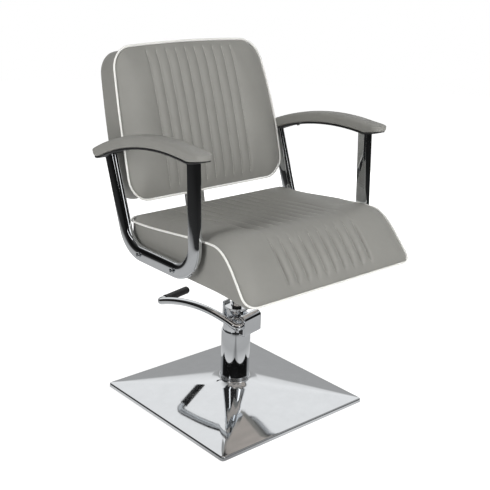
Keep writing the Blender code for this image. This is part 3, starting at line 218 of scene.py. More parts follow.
def mix_colours(tree, factor, first, second):
    """Two colours, or other nodes' outputs, mixed by a factor."""
    node = add_node(tree, "ShaderNodeMix", factor, data_type="RGBA")
    sockets = [socket for socket in node.inputs if socket.type == "RGBA"]
    for socket, colour in zip(sockets, (first, second)):
        feed(tree, socket, (*colour, 1) if isinstance(colour, tuple) else colour)
    return [output for output in node.outputs if output.type == "RGBA"][0]


def grey_ramp(tree, value, stops):
    node = add_node(tree, "ShaderNodeValToRGB", value)
    elements = node.color_ramp.elements
    elements.remove(elements[0])
    elements[0].position, grey = stops[0]
    elements[0].color = (grey, grey, grey, 1)
    for position, grey in stops[1:]:
        elements.new(position).color = (grey, grey, grey, 1)
    return node.outputs["Color"]


def bump(tree, height, strength, distance):
    node = add_node(tree, "ShaderNodeBump", Height=height, Strength=strength, Distance=distance)
    return node.outputs["Normal"]


def shade(colour, factor):
    return tuple(min(channel * factor, 1.0) for channel in colour)


def finish(tree, shader, **inputs):
    """What the shader's inputs take, by name, with _ for each space."""
    for name, value in inputs.items():
        feed(tree, shader.inputs[name.replace("_", " ")], value)


def leather(name, colour, roughness=0.42, grain=1.0):
    """Embossed vinyl leather: fine pebbles, faint clouding and a soft gloss."""
    material, tree, shader = new_material(name)
    place = object_place(tree)
    pebbles = add_node(tree, "ShaderNodeTexVoronoi", feature="SMOOTH_F1", Vector=place, Scale=620.0,
                       Randomness=0.9)
    creases = noise_value(tree, place, 95.0, 6.0, 0.6)
    height = calculate(tree, "MULTIPLY_ADD", pebbles.outputs["Distance"], 0.7, creases)
    clouds = remap(tree, noise_value(tree, place, 9.0, 4.0, 0.6), 0.0, 1.0)
    finish(tree, shader, Specular_IOR_Level=0.38,
           Base_Color=mix_colours(tree, clouds, shade(colour, 0.95), shade(colour, 1.05)),
           Roughness=remap(tree, creases, roughness - 0.05, roughness + 0.08),
           Normal=bump(tree, height, 0.16 * grain, 0.0006))
    return material


def chrome(name, colour=(0.79, 0.81, 0.83), roughness=0.045):
    """Polished plate: a mirror with faint smudges and a trace of waviness."""
    material, tree, shader = new_material(name)
    place = object_place(tree)
    smudges = noise_value(tree, place, 26.0, 5.0, 0.6)
    waves = noise_value(tree, place, 38.0, 1.0)
    finish(tree, shader, Metallic=1.0,
           Base_Color=mix_colours(tree, remap(tree, smudges, 0.0, 1.0), shade(colour, 0.95), colour),
           Roughness=remap(tree, smudges, roughness * 0.6, roughness * 1.7),
           Normal=bump(tree, waves, 0.03, 0.0006))
    return material


def metal(name, colour, roughness, stretch=(1, 1, 14), scale=120.0):
    """Turned, drawn or plated metal with fine marks, stretched along one way where it is worked."""
    material, tree, shader = new_material(name)
    marks = noise_value(tree, stretched_place(tree, stretch), scale, 4.0, 0.65)
    finish(tree, shader, Metallic=1.0,
           Base_Color=mix_colours(tree, remap(tree, marks, 0.0, 1.0), shade(colour, 0.8), colour),
           Roughness=remap(tree, marks, roughness * 0.75, roughness * 1.25),
           Normal=bump(tree, marks, 0.12, 0.0003))
    return material


def coated(name, colour, roughness, scale, strength, contrast=0.25):
    """Paint, rubber, thread or moulded plastic with a fine texture."""
    material, tree, shader = new_material(name)
    place = object_place(tree)
    texture = noise_value(tree, place, scale, 3.0, 0.6)
    wear = noise_value(tree, place, 35.0, 5.0, 0.65)
    worn = tuple(min(channel * (1 + contrast) + 0.004 * contrast, 1.0) for channel in colour)
    finish(tree, shader, Base_Color=mix_colours(tree, remap(tree, wear, 0.0, 1.0), colour, worn),
           Roughness=remap(tree, wear, roughness - 0.06, roughness + 0.08),
           Normal=bump(tree, texture, strength, 0.0004))
    return material


def plywood(name):
    """Grey-stained plywood: long figure on the faces, plies on the edges."""
    material, tree, shader = new_material(name)
    figure = noise_value(tree, stretched_place(tree, (2.0, 14.0, 240.0)), 4.0, 6.0, 0.6)
    tone = mix_colours(tree, remap(tree, figure, 0.0, 1.0), (0.50, 0.45, 0.41), (0.63, 0.57, 0.52))
    finish(tree, shader, Base_Color=tone, Roughness=0.65, Normal=bump(tree, figure, 0.2, 0.0005))
    return material


COVER = leather("grey_leatherette", (0.262, 0.2585, 0.240))
PIPING = leather("white_piping_vinyl", (0.84, 0.835, 0.80), 0.38, 0.6)
THREAD = coated("grey_thread", (0.60, 0.59, 0.55), 0.6, 1800.0, 0.5)
CHROME = chrome("chrome_plate")
ROD = chrome("hard_chrome_rod", (0.74, 0.75, 0.77), 0.09)
SATIN = chrome("satin_chrome", (0.84, 0.84, 0.83), 0.36)
STEEL = metal("machined_steel", (0.46, 0.47, 0.48), 0.34)
ZINC = metal("zinc_plate", (0.62, 0.63, 0.60), 0.30, (1, 1, 1), 260.0)
BLACK = coated("black_powder_coat", (0.022, 0.022, 0.023), 0.42, 700.0, 0.35)
RUBBER = coated("black_rubber", (0.016, 0.016, 0.017), 0.50, 260.0, 0.18)
NYLON = coated("white_nylon", (0.76, 0.75, 0.70), 0.45, 500.0, 0.1, 0.05)
WOOD = plywood("stained_plywood")
BY_SLOT = {"cover": COVER, "piping": PIPING, "chrome": CHROME, "steel": STEEL, "zinc": ZINC,
           "black_steel": BLACK, "rubber": RUBBER, "nylon": NYLON, "plywood": WOOD}


def dress_cad_nodes():
    """Every CAD node takes the material of its slot."""
    for entry in frame["record"]["subparts"]:
        node = nodes[entry["node"]]
        node.data.materials.clear()
        node.data.materials.append(BY_SLOT[entry["material_slot"]])


# Shapes

def mesh_from(name, bm):
    mesh = bpy.data.meshes.new(name)
    bm.to_mesh(mesh)
    return mesh


def add_object(name, data):
    item = bpy.data.objects.new(name, data)
    bpy.context.scene.collection.objects.link(item)
    return item


def add_piece(name, bm, body, slot, replaced=(), place=None, sharp=40, material=None, levels=0, flat=False):
    """One finished piece that rides on a body and stands for CAD nodes."""
    bmesh.ops.recalc_face_normals(bm, faces=bm.faces)
    if place is not None:
        bmesh.ops.transform(bm, matrix=place, verts=bm.verts)
    mesh = mesh_from(name, bm)
    bm.free()
    mesh.shade_smooth()
    mesh.set_sharp_from_angle(angle=math.radians(sharp))
    mesh.materials.append(material or BY_SLOT[slot])
    piece = add_object(name, mesh)
    if flat:
        keeper = piece.modifiers.new("flats", "WEIGHTED_NORMAL")
        keeper.keep_sharp = True
        keeper.weight = 100
    if levels:
        smoother = piece.modifiers.new("smooth", "SUBSURF")
        smoother.levels = levels
        smoother.render_levels = levels
    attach(piece, body)
    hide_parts(*replaced)
    return piece


def loft_faces(bm, rings, closed=False):
    pairs = list(zip(rings, rings[1:]))
    if closed:
        pairs.append((rings[-1], rings[0]))
    for near, far in pairs:
        count = max(len(near), len(far))
        if count == 1:
            continue
        for i in range(count):
            j = (i + 1) % count
            corners = (near[i % len(near)], near[j % len(near)], far[j % len(far)], far[i % len(far)])
            bm.faces.new(tuple(dict.fromkeys(corners)))


def lofted(sections, closed=False, bm=None):
    bm = bm or bmesh.new()
    rings = [[bm.verts.new(point) for point in section] for section in sections]
    loft_faces(bm, rings, closed)
    if not closed:
        bm.faces.new(rings[0])
        bm.faces.new(rings[-1])
    return bm


def turned(outline, segments=72, closed=True):
    """An outline of (radius, z) turned round the Z axis."""
    bm = bmesh.new()
    turn = 2 * math.pi / segments
    rings = []
    for radius, z in outline:
        count = segments if radius else 1
        rings.append([bm.verts.new((radius * math.cos(turn * i), radius * math.sin(turn * i), z))
                      for i in range(count)])
    loft_faces(bm, rings, closed)
    return bm


def quarter_bends(steps):
    return [math.pi / 2 * step / steps for step in range(steps + 1)]


def eased(outline, radius, steps=3):
    """An outline of (radius, z) with its corners rounded."""
    points = [Vector(p) for p in outline]
    result = []
    for i, corner in enumerate(points):
        before = points[i - 1] - corner
        after = points[(i + 1) % len(points)] - corner
        reach = min(radius, before.length * 0.45, after.length * 0.45)
        if corner.x == 0 or reach == 0:
            result.append(tuple(corner))
            continue
        start = corner + before.normalized() * reach
        end = corner + after.normalized() * reach
        for step in range(steps + 1):
            t = step / steps
            result.append(tuple(start * (1 - t) ** 2 + corner * 2 * t * (1 - t) + end * t ** 2))
    return result


def rounded_rectangle(half_u, half_v, radius, steps):
    points = []
    for quarter in range(4):
        across = 1 if quarter in (0, 3) else -1
        up = 1 if quarter in (0, 1) else -1
        for step in range(steps + 1):
            angle = math.pi / 2 * (quarter + step / steps)
            points.append((across * (half_u - radius) + radius * math.cos(angle),
                           up * (half_v - radius) + radius * math.sin(angle)))
    return points


def oval(half_u, half_v, upper, lower, sides):
    """A flat oval, an ellipse at exponents of 1 and fuller at its upper and lower corners below that."""
    points = []
    for i in range(sides):
        angle = 2 * math.pi * (i + 0.5) / sides
        u, v = math.cos(angle), math.sin(angle)
        exponent = upper if v > 0 else lower
        points.append((half_u * math.copysign(abs(u) ** exponent, u),
                       half_v * math.copysign(abs(v) ** exponent, v)))
    return points


def corner_arc(before, corner, after, radius, steps):
    """Points and directions of travel round a filleted corner."""
    back = (before - corner).normalized()
    ahead = (after - corner).normalized()
    half = back.angle(ahead) / 2
    centre = corner + (back + ahead).normalized() * (radius / math.sin(half))
    start = corner + back * (radius / math.tan(half)) - centre
    axis = start.cross(-back).normalized()
    turn = math.pi - 2 * half
    spokes = [Matrix.Rotation(turn * step / steps, 3, axis) @ start for step in range(steps + 1)]
    return [(centre + spoke, axis.cross(spoke).normalized()) for spoke in spokes]


def flat_section(point, travel, outline):
    across = Vector((1, 0, 0))
    square = across.cross(travel)
    return [point + across * u + square * v for u, v in outline]


def round_section(point, across, square, radius, sides):
    angles = [2 * math.pi / sides * i for i in range(sides)]
    return [point + (across * math.cos(angle) + square * math.sin(angle)) * radius for angle in angles]


def tube(points, radii, sides):
    travels = [(after - before).normalized()
               for before, after in zip([points[0]] + points[:-1], points[1:] + [points[-1]])]
    across = travels[0].orthogonal().normalized()
    sections = []
    for point, travel, radius in zip(points, travels, radii):
        across = (across - travel * across.dot(travel)).normalized()
        sections.append(round_section(point, across, travel.cross(across), radius, sides))
    return lofted(sections)


def bevelled(piece, width, segments):
    modifier = piece.modifiers.new("edges", "BEVEL")
    modifier.width = width
    modifier.segments = segments
    modifier.limit_method = "ANGLE"
    modifier.angle_limit = math.radians(50)
    modifier.harden_normals = True


# Pedestal

def base_ring(half, corner, circle_radius=None):
    """Points round a square with rounded corners, or the matching points of a circle."""
    shares = (-1, -0.985, -0.95, -0.85, -0.6, -0.3, 0, 0.3, 0.6, 0.85, 0.95, 0.985, 1)
    corner_steps = 20
    side_angle = math.radians(4)
    corner_angle = math.pi / 2 - 2 * side_angle
    centre = Vector((half - corner, half - corner))
    spots = [(Vector((half, share * (half - corner))), share * side_angle) for share in shares]
    for step in range(1, corner_steps):
        share = step / corner_steps
        bend = share * math.pi / 2
        place = centre + corner * Vector((math.cos(bend), math.sin(bend)))
        spots.append((place, side_angle + share * corner_angle))
    if circle_radius:
        spots = [(circle_radius * Vector((math.cos(angle), math.sin(angle))), angle) for _, angle in spots]
    turns = [Matrix.Rotation(math.pi / 2 * quarter, 2) for quarter in range(4)]
    return [turn @ place for turn in turns for place, _ in spots]


def at_level(ring, z):
    return [(point.x, point.y, z) for point in ring]


def make_base():
    """The pressed cover: a lip, four flat faces that run into each other round the neck, and a swept neck."""
    wall = 0.002
    foot = 0.0015
    corner = 0.010
    lip = 0.0055
    flare = neck_radius + 0.024
    flare_top = lip_top + FACE_SLOPE * (base_half - flare)
    throat = neck_radius - 0.002
    neck_edge = 0.001

    def roof(point):
        return lip_top + FACE_SLOPE * (base_half - max(abs(point.x), abs(point.y)))

    def circle(radius):
        return base_ring(base_half, corner, radius)

    outer = base_ring(base_half, corner)
    sections = [at_level(outer, foot), at_level(outer, lip_top - lip)]
    for bend in quarter_bends(4)[1:]:
        inset = lip * (1 - math.cos(bend))
        drop = lip * (1 - math.sin(bend))
        ring = base_ring(base_half - inset, corner - inset)
        sections.append([(p.x, p.y, roof(p) - drop) for p in ring])
    inner_edge = base_ring(base_half - lip, corner - lip)
    for share in (0.06, 0.18, 0.3, 0.42, 0.54, 0.66, 0.78, 0.9, 1.0):
        section = []
        for start, end in zip(inner_edge, circle(flare)):
            place = start.lerp(end, share)
            section.append((place.x, place.y, roof(start) * (1 - share) + flare_top * share))
        sections.append(section)
    rise = neck_top - neck_edge - flare_top - FACE_SLOPE * (flare - throat)
    for bend in quarter_bends(12)[1:]:
        radius = flare - (flare - throat) * math.sin(bend)
        level = flare_top + FACE_SLOPE * (flare - radius) + rise * (1 - math.cos(bend))
        sections.append(at_level(circle(radius), level))
    mouth = circle(sleeve_radius + 0.0005)
    inner = base_ring(base_half - wall, corner - wall)
    sections += [at_level(circle(throat - 0.0015), neck_top), at_level(mouth, neck_top),
                 at_level(mouth, neck_top - wall), at_level(circle(flare - wall), flare_top - wall),
                 at_level(inner, lip_top - wall), at_level(inner, foot)]
    shell = lofted(sections, closed=True)
    add_piece("base_shell", shell, "base", "chrome", ["base_cover"], sharp=70, flat=True)

    hole = sleeve_radius + GAP
    low = neck_top + GAP
    wide = column_radius + GAP + 0.005
    collar = [(wide, low), (wide, low + 0.0042), (wide - 0.0016, low + 0.0044), (wide - 0.0012, low + 0.0050),
              (wide - 0.0012, low + 0.008), (hole, low + 0.008), (hole, low)]
    add_piece("base_collar", turned(eased(collar, 0.0016)), "base", "chrome", ["collar_ring"], sharp=70)
    bore = column_radius - 0.002
    sleeve = [(sleeve_radius, column_low.z), (sleeve_radius, column_high.z), (bore, column_high.z),
              (bore, column_low.z)]
    add_piece("column_sleeve", turned(eased(sleeve, 0.0006, 2), 96), "base", "chrome", ["column_cover"])


# Pump head

PUMP = Matrix.Rotation(PUMP_YAW, 4, "Z")
LEVER = PUMP @ Matrix.Translation((0, axle_y, axle_z))


def extruded_outline(outline, start, end, bm=None):
    """An outline of (y, z) extruded along X."""
    return lofted([[(x, y, z) for y, z in outline] for x in (start, end)], bm=bm)


def make_pump_head():
    hole = 0.0156
    disc = [(head_radius, head_z), (head_radius, head_top), (hole, head_top), (hole, head_z)]
    body = turned(eased(disc, 0.0018))
    lug_low = head_top - 0.027
    lug_top = head_top + 0.035
    lug_root = head_radius - 0.010
    lug_half = 0.014
    back = head_radius + 0.004
    front = 0.0345
    crown = 0.004
    lug = [(lug_root, lug_low), (back, lug_low), (back, lug_top - crown)]
    lug += [(back - crown + crown * math.cos(a), lug_top - crown + crown * math.sin(a))
            for a in (math.pi / 8, math.pi / 4, 3 * math.pi / 8, math.pi / 2)]
    lug += [(front, lug_top), (front, head_top - GAP), (lug_root, head_top - GAP)]
    extruded_outline(lug, -lug_half, lug_half, body)
    ear_front = axle_y - 0.008
    ear_rear = -0.027
    ear_low = axle_z - 0.020
    ear_top = head_top - 0.0006
    ear = ((ear_front, ear_low), (ear_rear, ear_low), (ear_rear, ear_top), (ear_front, ear_top))
    for span in ((0.0207, 0.0347), (-0.0347, -0.0207)):
        extruded_outline(ear, *span, body)
    bevelled(add_piece("pump_body", body, "base", "chrome", ["pump_head"], PUMP), 0.0012, 2)

    rear = -(head_radius + 2 * GAP)
    nose = rear - 0.0215
    low = axle_z - 0.030
    top = axle_z + 0.030
    edge = 0.0160
    outline = [(rear, low), (rear, top)]
    for bend in quarter_bends(8):
        outline.append((nose + edge * (1 - math.sin(bend)), top - edge * (1 - math.cos(bend))))
    outline.append((nose, low))
    housing = extruded_outline(outline, -head_radius, head_radius + 0.003)
    bevelled(add_piece("housing_cover", housing, "base", "chrome", ["lever_housing"], PUMP), 0.0022, 4)

    low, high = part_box("head_cap")
    radius = high.x + 0.0035
    stem = radius - 0.006
    level = high.z + 0.0085
    cap = [(stem, low.z), (stem, level - 0.0085), (radius, level - 0.0075), (radius, level), (hole, level),
           (hole, low.z)]
    add_piece("gland_cap", turned(eased(cap, 0.0009)), "base", "chrome", ["head_cap"], flat=True)
    wiper = [(0.0170, level + GAP), (0.0166, level + 0.0010), (0.0153, level + 0.0012), (0.0153, level + GAP)]
    add_piece("wiper_lip", turned(eased(wiper, 0.0003, 2)), "base", "rubber", ["rod_wiper"])
    # A black plate on the housing's side where its slot is: painted shade of the slot.
    slot_start, slot_end = rear - 0.0002, rear - 0.0135
    slot_low, slot_top = axle_z - 0.0255, axle_z - 0.0090
    slot = ((slot_start, slot_low), (slot_start, slot_top), (slot_end, slot_top), (slot_end, slot_low))
    slot_shade = extruded_outline(slot, -head_radius - 0.0008, -head_radius + 0.002)
    bevelled(add_piece("housing_slot_shade", slot_shade, "base", "rubber", (), PUMP), 0.0003, 2)


def make_lift():
    low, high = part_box("piston_rod")
    radius = 0.015
    shoulder = high.x
    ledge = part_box("thrust_washer")[0].z - GAP
    rod = [(0, low.z), (radius, low.z), (radius, ledge - 0.003), (shoulder, ledge - 0.003), (shoulder, ledge),
           (radius, ledge), (radius, high.z), (0, high.z)]
    add_piece("ram_rod", turned(eased(rod, 0.0008, 2)), "lift", "chrome", ["piston_rod"], material=ROD)
    low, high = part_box("seat_socket")
    bore = 0.0153
    bore_top = high.z - 0.007
    body = bore + 0.011
    socket = [(bore, low.z), (body, low.z), (body, high.z - 0.012), (body + 0.004, high.z - 0.0075),
              (high.x, high.z - 0.0045), (high.x, high.z), (0, high.z), (0, bore_top), (bore, bore_top)]
    add_piece("socket_casting", turned(eased(socket, 0.0012)), "seat", "black_steel", ["seat_socket"])


# Foot lever

LEVER_REACH = 0.296
LEVER_CAMBER = 0.0275
LEVER_CREST = 0.150
HANDLE_LENGTH = 0.131
HANDLE_DROOP = 0.001
GRIP_LENGTH = 0.106
LEVER_LIFT = 0.002


def lever_arm_height(y):
    return LEVER_CAMBER * (1 - ((y - LEVER_CREST) / LEVER_CREST) ** 2) + LEVER_LIFT * y / LEVER_REACH


def make_lever():
    bar = 0.0108
    axle = 0.006
    arm_x = -(column_radius + 0.015)
    bend = 0.014
    shoulder_x = -head_radius - 2 * GAP
    end_bend = 0.011
    steps = 40
    arm = []
    for step in range(steps + 1):
        y = 2 * bend + (LEVER_REACH - 2 * bend - 2 * end_bend) * step / steps
        arm.append(Vector((arm_x, y, lever_arm_height(y))))
    corner = Vector((arm_x, LEVER_REACH, lever_arm_height(LEVER_REACH)))
    handle = Vector((HANDLE_LENGTH, 0, -HANDLE_DROOP)).normalized()
    grip_start = HANDLE_LENGTH - GRIP_LENGTH
    start = corner + handle * (grip_start - GAP)
    path = [(Vector((head_radius + 0.0027, 0, 0)), axle), (Vector((shoulder_x + GAP, 0, 0)), axle),
            (Vector((shoulder_x, 0, 0)), bar - 0.0008), (Vector((shoulder_x - 0.0008, 0, 0)), bar)]
    elbow = corner_arc(Vector((0, 0, 0)), Vector((arm_x, 0, 0)), arm[0], bend, 12)
    path += [(point, bar) for point, _ in elbow]
    path += [(point, bar) for point in arm]
    path += [(point, bar) for point, _ in corner_arc(arm[-1], corner, start, end_bend, 12)]
    path += [(start - handle * 0.001, bar), (start - handle * GAP, bar - 0.0007), (start, axle),
             (corner + handle * (HANDLE_LENGTH - 0.012), axle)]
    bar_tube = tube([point for point, _ in path], [radius for _, radius in path], 28)
    add_piece("lever_bar", bar_tube, "lever", "chrome", ["pump_lever"], LEVER, 50)

    grip = 0.0118
    tip = HANDLE_LENGTH
    outline = [(0.0063, grip_start), (grip + 0.0006, grip_start), (grip + 0.0006, grip_start + 0.004),
               (grip - 0.0002, grip_start + 0.0055), (grip - 0.0002, tip - 0.012), (grip, tip - 0.008),
               (grip * 0.86, tip - 0.0028), (grip * 0.5, tip - 0.0006), (0, tip)]
    cover = turned(eased(outline, 0.0012, 3), 48, closed=False)
    turn = Matrix.Rotation(math.pi / 2 + math.asin(-handle.z), 4, "Y")
    place = LEVER @ Matrix.Translation(corner) @ turn
    add_piece("grip_sleeve", cover, "lever", "rubber", ["lever_grip"], place, 60)


# Sewn cushions

def cubic(p0, p1, p2, p3, share):
    rest = 1 - share
    return p0 * rest ** 3 + p1 * (3 * rest ** 2 * share) + p2 * (3 * rest * share ** 2) + p3 * share ** 3


def seat_profile(count):
    rear = Vector((0, *SEAT_REAR))
    crest = Vector((0, *SEAT_CREST))
    toe = Vector((0, *SEAT_TOE))
    top_run = crest - rear
    front_run = toe - crest
    first = (rear, rear + Vector((0, top_run.y * 0.30, -0.004)),
             crest - Vector((0, top_run.y * 0.25, 0)), crest)
    second = (crest, crest + Vector((0, front_run.y * 0.455, 0)),
              toe - Vector((0, front_run.y * 0.265, front_run.z * 0.168)), toe)
    points = [cubic(*first, i / count) for i in range(count)]
    return points + [cubic(*second, i / count) for i in range(count + 1)]


def walk(points):
    distances = [0.0]
    for before, after in zip(points, points[1:]):
        distances.append(distances[-1] + (after - before).length)
    return distances


def at_distance(points, distances, wanted):
    for i in range(len(points) - 1):
        if distances[i + 1] >= wanted or i == len(points) - 2:
            share = (wanted - distances[i]) / (distances[i + 1] - distances[i])
            before = points[max(i - 1, 0)]
            after = points[min(i + 2, len(points) - 1)]
            return points[i].lerp(points[i + 1], share), (after - before).normalized()


def spread_rows(length, near_corner, far_corner, pitch):
    """Distances along a cover: close together round its corners, even between them."""
    ends = [1 - math.cos(bend) for bend in quarter_bends(7)]
    rows = [near_corner * share for share in ends]
    middle = length - near_corner - far_corner
    count = round(middle / pitch)
    rows += [near_corner + middle * i / count for i in range(1, count)]
    return rows + [length - far_corner * share for share in reversed(ends)]


def corner_trim(distance, radius):
    if distance >= radius:
        return 0.0
    return radius - math.sqrt(max(0.0, radius ** 2 - (radius - distance) ** 2))


def stitch_places():
    pitch = CHANNEL_SPAN / (CHANNEL_LINES - 1)
    return [-CHANNEL_SPAN / 2 + pitch * i for i in range(CHANNEL_LINES)]


LANE_EDGE = CHANNEL_SPAN / 2 + LANE_MARGIN


def cover_columns(half):
    """Places across a cover with their puff: none at a stitch line, full between two."""
    columns = []
    lines = stitch_places()
    for left, right in zip(lines, lines[1:]):
        for step in range(CHANNEL_STEPS):
            t = step / CHANNEL_STEPS
            t = t - 0.10 * math.sin(2 * math.pi * t) / 2
            columns.append((left + (right - left) * t, 1 - abs(2 * t - 1) ** 2.2))
    columns.append((lines[-1], 0.0))
    margin = [(lines[-1] + LANE_MARGIN * share, 1 - (1 - share) ** 2.2) for share in (0.25, 0.6, 1.0)]
    count = 16
    outer = [LANE_EDGE + (half - LANE_EDGE) * (1 - (1 - i / count) ** 1.7) for i in range(1, count + 1)]
    right_side = margin + [(x, 1.0) for x in outer]
    return [(-x, p) for x, p in reversed(right_side)] + columns + right_side


def fit_column(x, half, row_half):
    if abs(x) <= LANE_EDGE:
        return x
    share = (abs(x) - LANE_EDGE) / (half - LANE_EDGE)
    return math.copysign(LANE_EDGE + share * (row_half - LANE_EDGE), x)


def swell(edge_distance, height, roll=EDGE_ROLL):
    share = min(max(edge_distance, 0.0) / roll, 1.0)
    return height * (1 - (1 - share) ** 2)


def fade(distance, start, length):
    share = min(max((distance - start) / length, 0.0), 1.0)
    return share * share * (3 - 2 * share)


def ripple(point, size=0.0009):
    """A cover is never quite even."""
    return size * noise.noise(point * 11.0) + 0.4 * size * noise.noise(point * 31.0)


def bell(distance, centre, width):
    return math.exp(-((distance - centre) / width) ** 2)


def knee_roll(beyond, place):
    """The front roll of the seat and the soft valley behind it, deeper outside the channels."""
    roll = KNEE_ROLL * bell(beyond, 0.015, 0.040)
    valley = KNEE_VALLEY * bell(beyond, -0.055, 0.030)
    side = fade(abs(place), 0.12, 0.10)
    return roll * (0.6 + 0.4 * side) - valley * side


def border(rows, columns):
    loop = [(0, c) for c in range(columns)]
    loop += [(r, columns - 1) for r in range(1, rows)]
    loop += [(rows - 1, c) for c in range(columns - 2, -1, -1)]
    loop += [(r, 0) for r in range(rows - 2, 0, -1)]
    return loop


def outward_at_edge(points, normals):
    centre = sum(points, Vector()) / len(points)
    result = []
    for i, point in enumerate(points):
        travel = points[(i + 1) % len(points)] - points[i - 1]
        out = travel.cross(normals[i]).normalized()
        result.append(out if out.dot(point - centre) > 0 else -out)
    return result


def grid_faces(bm, grid):
    verts = [[bm.verts.new(point) for point in row] for row in grid]
    for r in range(len(grid) - 1):
        for c in range(len(grid[0]) - 1):
            bm.faces.new((verts[r][c], verts[r][c + 1], verts[r + 1][c + 1], verts[r + 1][c]))
    return verts


def settle(bm, loose, limit):
    """A short cloth simulation: the filling presses the loose part of a cover outwards, as far as a limit."""
    bm.verts.index_update()
    mesh = mesh_from("settling", bm)
    trial = add_object("settling", mesh)
    scene = bpy.context.scene
    pins = trial.vertex_groups.new(name="pins")
    pins.add([vert.index for vert in bm.verts if vert not in loose], 1.0, "REPLACE")
    cloth = trial.modifiers.new("cloth", "CLOTH")
    for name, value in CLOTH.items():
        setattr(cloth.settings, name, value)
    cloth.settings.effector_weights.gravity = 0
    cloth.collision_settings.use_collision = False
    cloth.point_cache.frame_start = 1
    cloth.point_cache.frame_end = CLOTH_FRAMES
    for step in range(CLOTH_FRAMES):
        scene.frame_set(step + 1)
    shape = trial.evaluated_get(bpy.context.evaluated_depsgraph_get()).data
    for vert in loose:
        move = shape.vertices[vert.index].co - vert.co
        vert.co += move * min(1.0, limit / max(move.length, 1e-9))
    scene.frame_set(1)
    bpy.data.objects.remove(trial)
    bpy.data.meshes.remove(mesh)


def loose_verts(verts, columns, sewn):
    """The part of a cover inside its seam and off its stitch lines."""
    loose = set()
    for r in range(1, len(verts) - 1):
        for c in range(1, len(columns) - 1):
            if columns[c][1] > 0 or sewn[r] < STITCH_HOLD:
                loose.add(verts[r][c])
    return loose


def crease(bm, rings):
    layer = bm.edges.layers.float.new("crease_edge")
    for ring in rings:
        for i, vert in enumerate(ring):
            edge = bm.edges.get((vert, ring[i - 1]))
            if edge:
                edge[layer] = 1.0


def piping(points, normals, outs):
    """A round cord laid in the corner along a seam."""
    sections = []
    for i, point in enumerate(points):
        lean = (normals[i] * 0.5 + outs[i]).normalized()
        travel = (points[(i + 1) % len(points)] - points[i - 1]).normalized()
        lean = (lean - travel * lean.dot(travel)).normalized()
        centre = point + lean * (PIPING_RADIUS + 0.0002)
        sections.append(round_section(centre, lean, travel.cross(lean), PIPING_RADIUS, 14))
    return lofted(sections, closed=True)


def stitch_thread(bm, line):
    """A row of short stitches along a line of (point, normal)."""
    points = [point for point, _ in line]
    distances = walk(points)
    margin = 0.002
    for i in range(int((distances[-1] - 2 * margin) / STITCH_PITCH)):
        start = margin + STITCH_PITCH * i
        places = [at_distance(points, distances, start + STITCH_LENGTH * share)[0] for share in (0, 0.5, 1)]
        middle = start + STITCH_LENGTH / 2
        nearest = min(range(len(points)), key=lambda k: abs(distances[k] - middle))
        normal = line[nearest][1]
        travel = (places[2] - places[0]).normalized()
        across = travel.cross(normal).normalized()
        places[1] = places[1] + normal * STITCH_RISE
        square = across.cross(travel)
        lofted([round_section(place, across, square, STITCH_RADIUS, 5) for place in places], bm=bm)


def sew_cover(grid, row_normals, columns, sewing_rows, flip):
    """A cover's swelled face, and its seam's grid places, vertices, points, normals and ways out."""
    bm = bmesh.new()
    verts = grid_faces(bm, grid)
    if flip:
        bmesh.ops.reverse_faces(bm, faces=bm.faces)
    settle(bm, loose_verts(verts, columns, sewing_rows), CUSHION_SWELL)
    seam = border(len(grid), len(columns))
    points = [grid[r][c] for r, c in seam]
    normals = [row_normals[r] for r, _ in seam]
    return bm, seam, [verts[r][c] for r, c in seam], points, normals, outward_at_edge(points, normals)


def add_cushion(label, bm, seam_points, seam_normals, outs, threads):
    """A finished cover with the welt along its seam and the stitches in its channels."""
    cushion = add_piece(label + "_cover", bm, "seat", "cover", [label + "_cushion"], sharp=60, levels=1)
    cord = piping(seam_points, seam_normals, outs)
    add_piece(label + "_welt", cord, "seat", "piping", [label + "_piping"], sharp=70)
    sewing = bmesh.new()
    for line in threads.values():
        stitch_thread(sewing, line)
    add_piece(label + "_stitches", sewing, "seat", "cover", material=THREAD)


def pocket_edge(point):
    """Where the way from the centre of the pocket under the seat to a point crosses the pocket's edge."""
    centre = (POCKET_LOW + POCKET_HIGH) / 2
    size = (POCKET_HIGH - POCKET_LOW) / 2
    away = Vector((point.x, point.y)) - centre
    return centre + away * min(size[i] / abs(away[i]) for i in (0, 1) if away[i])


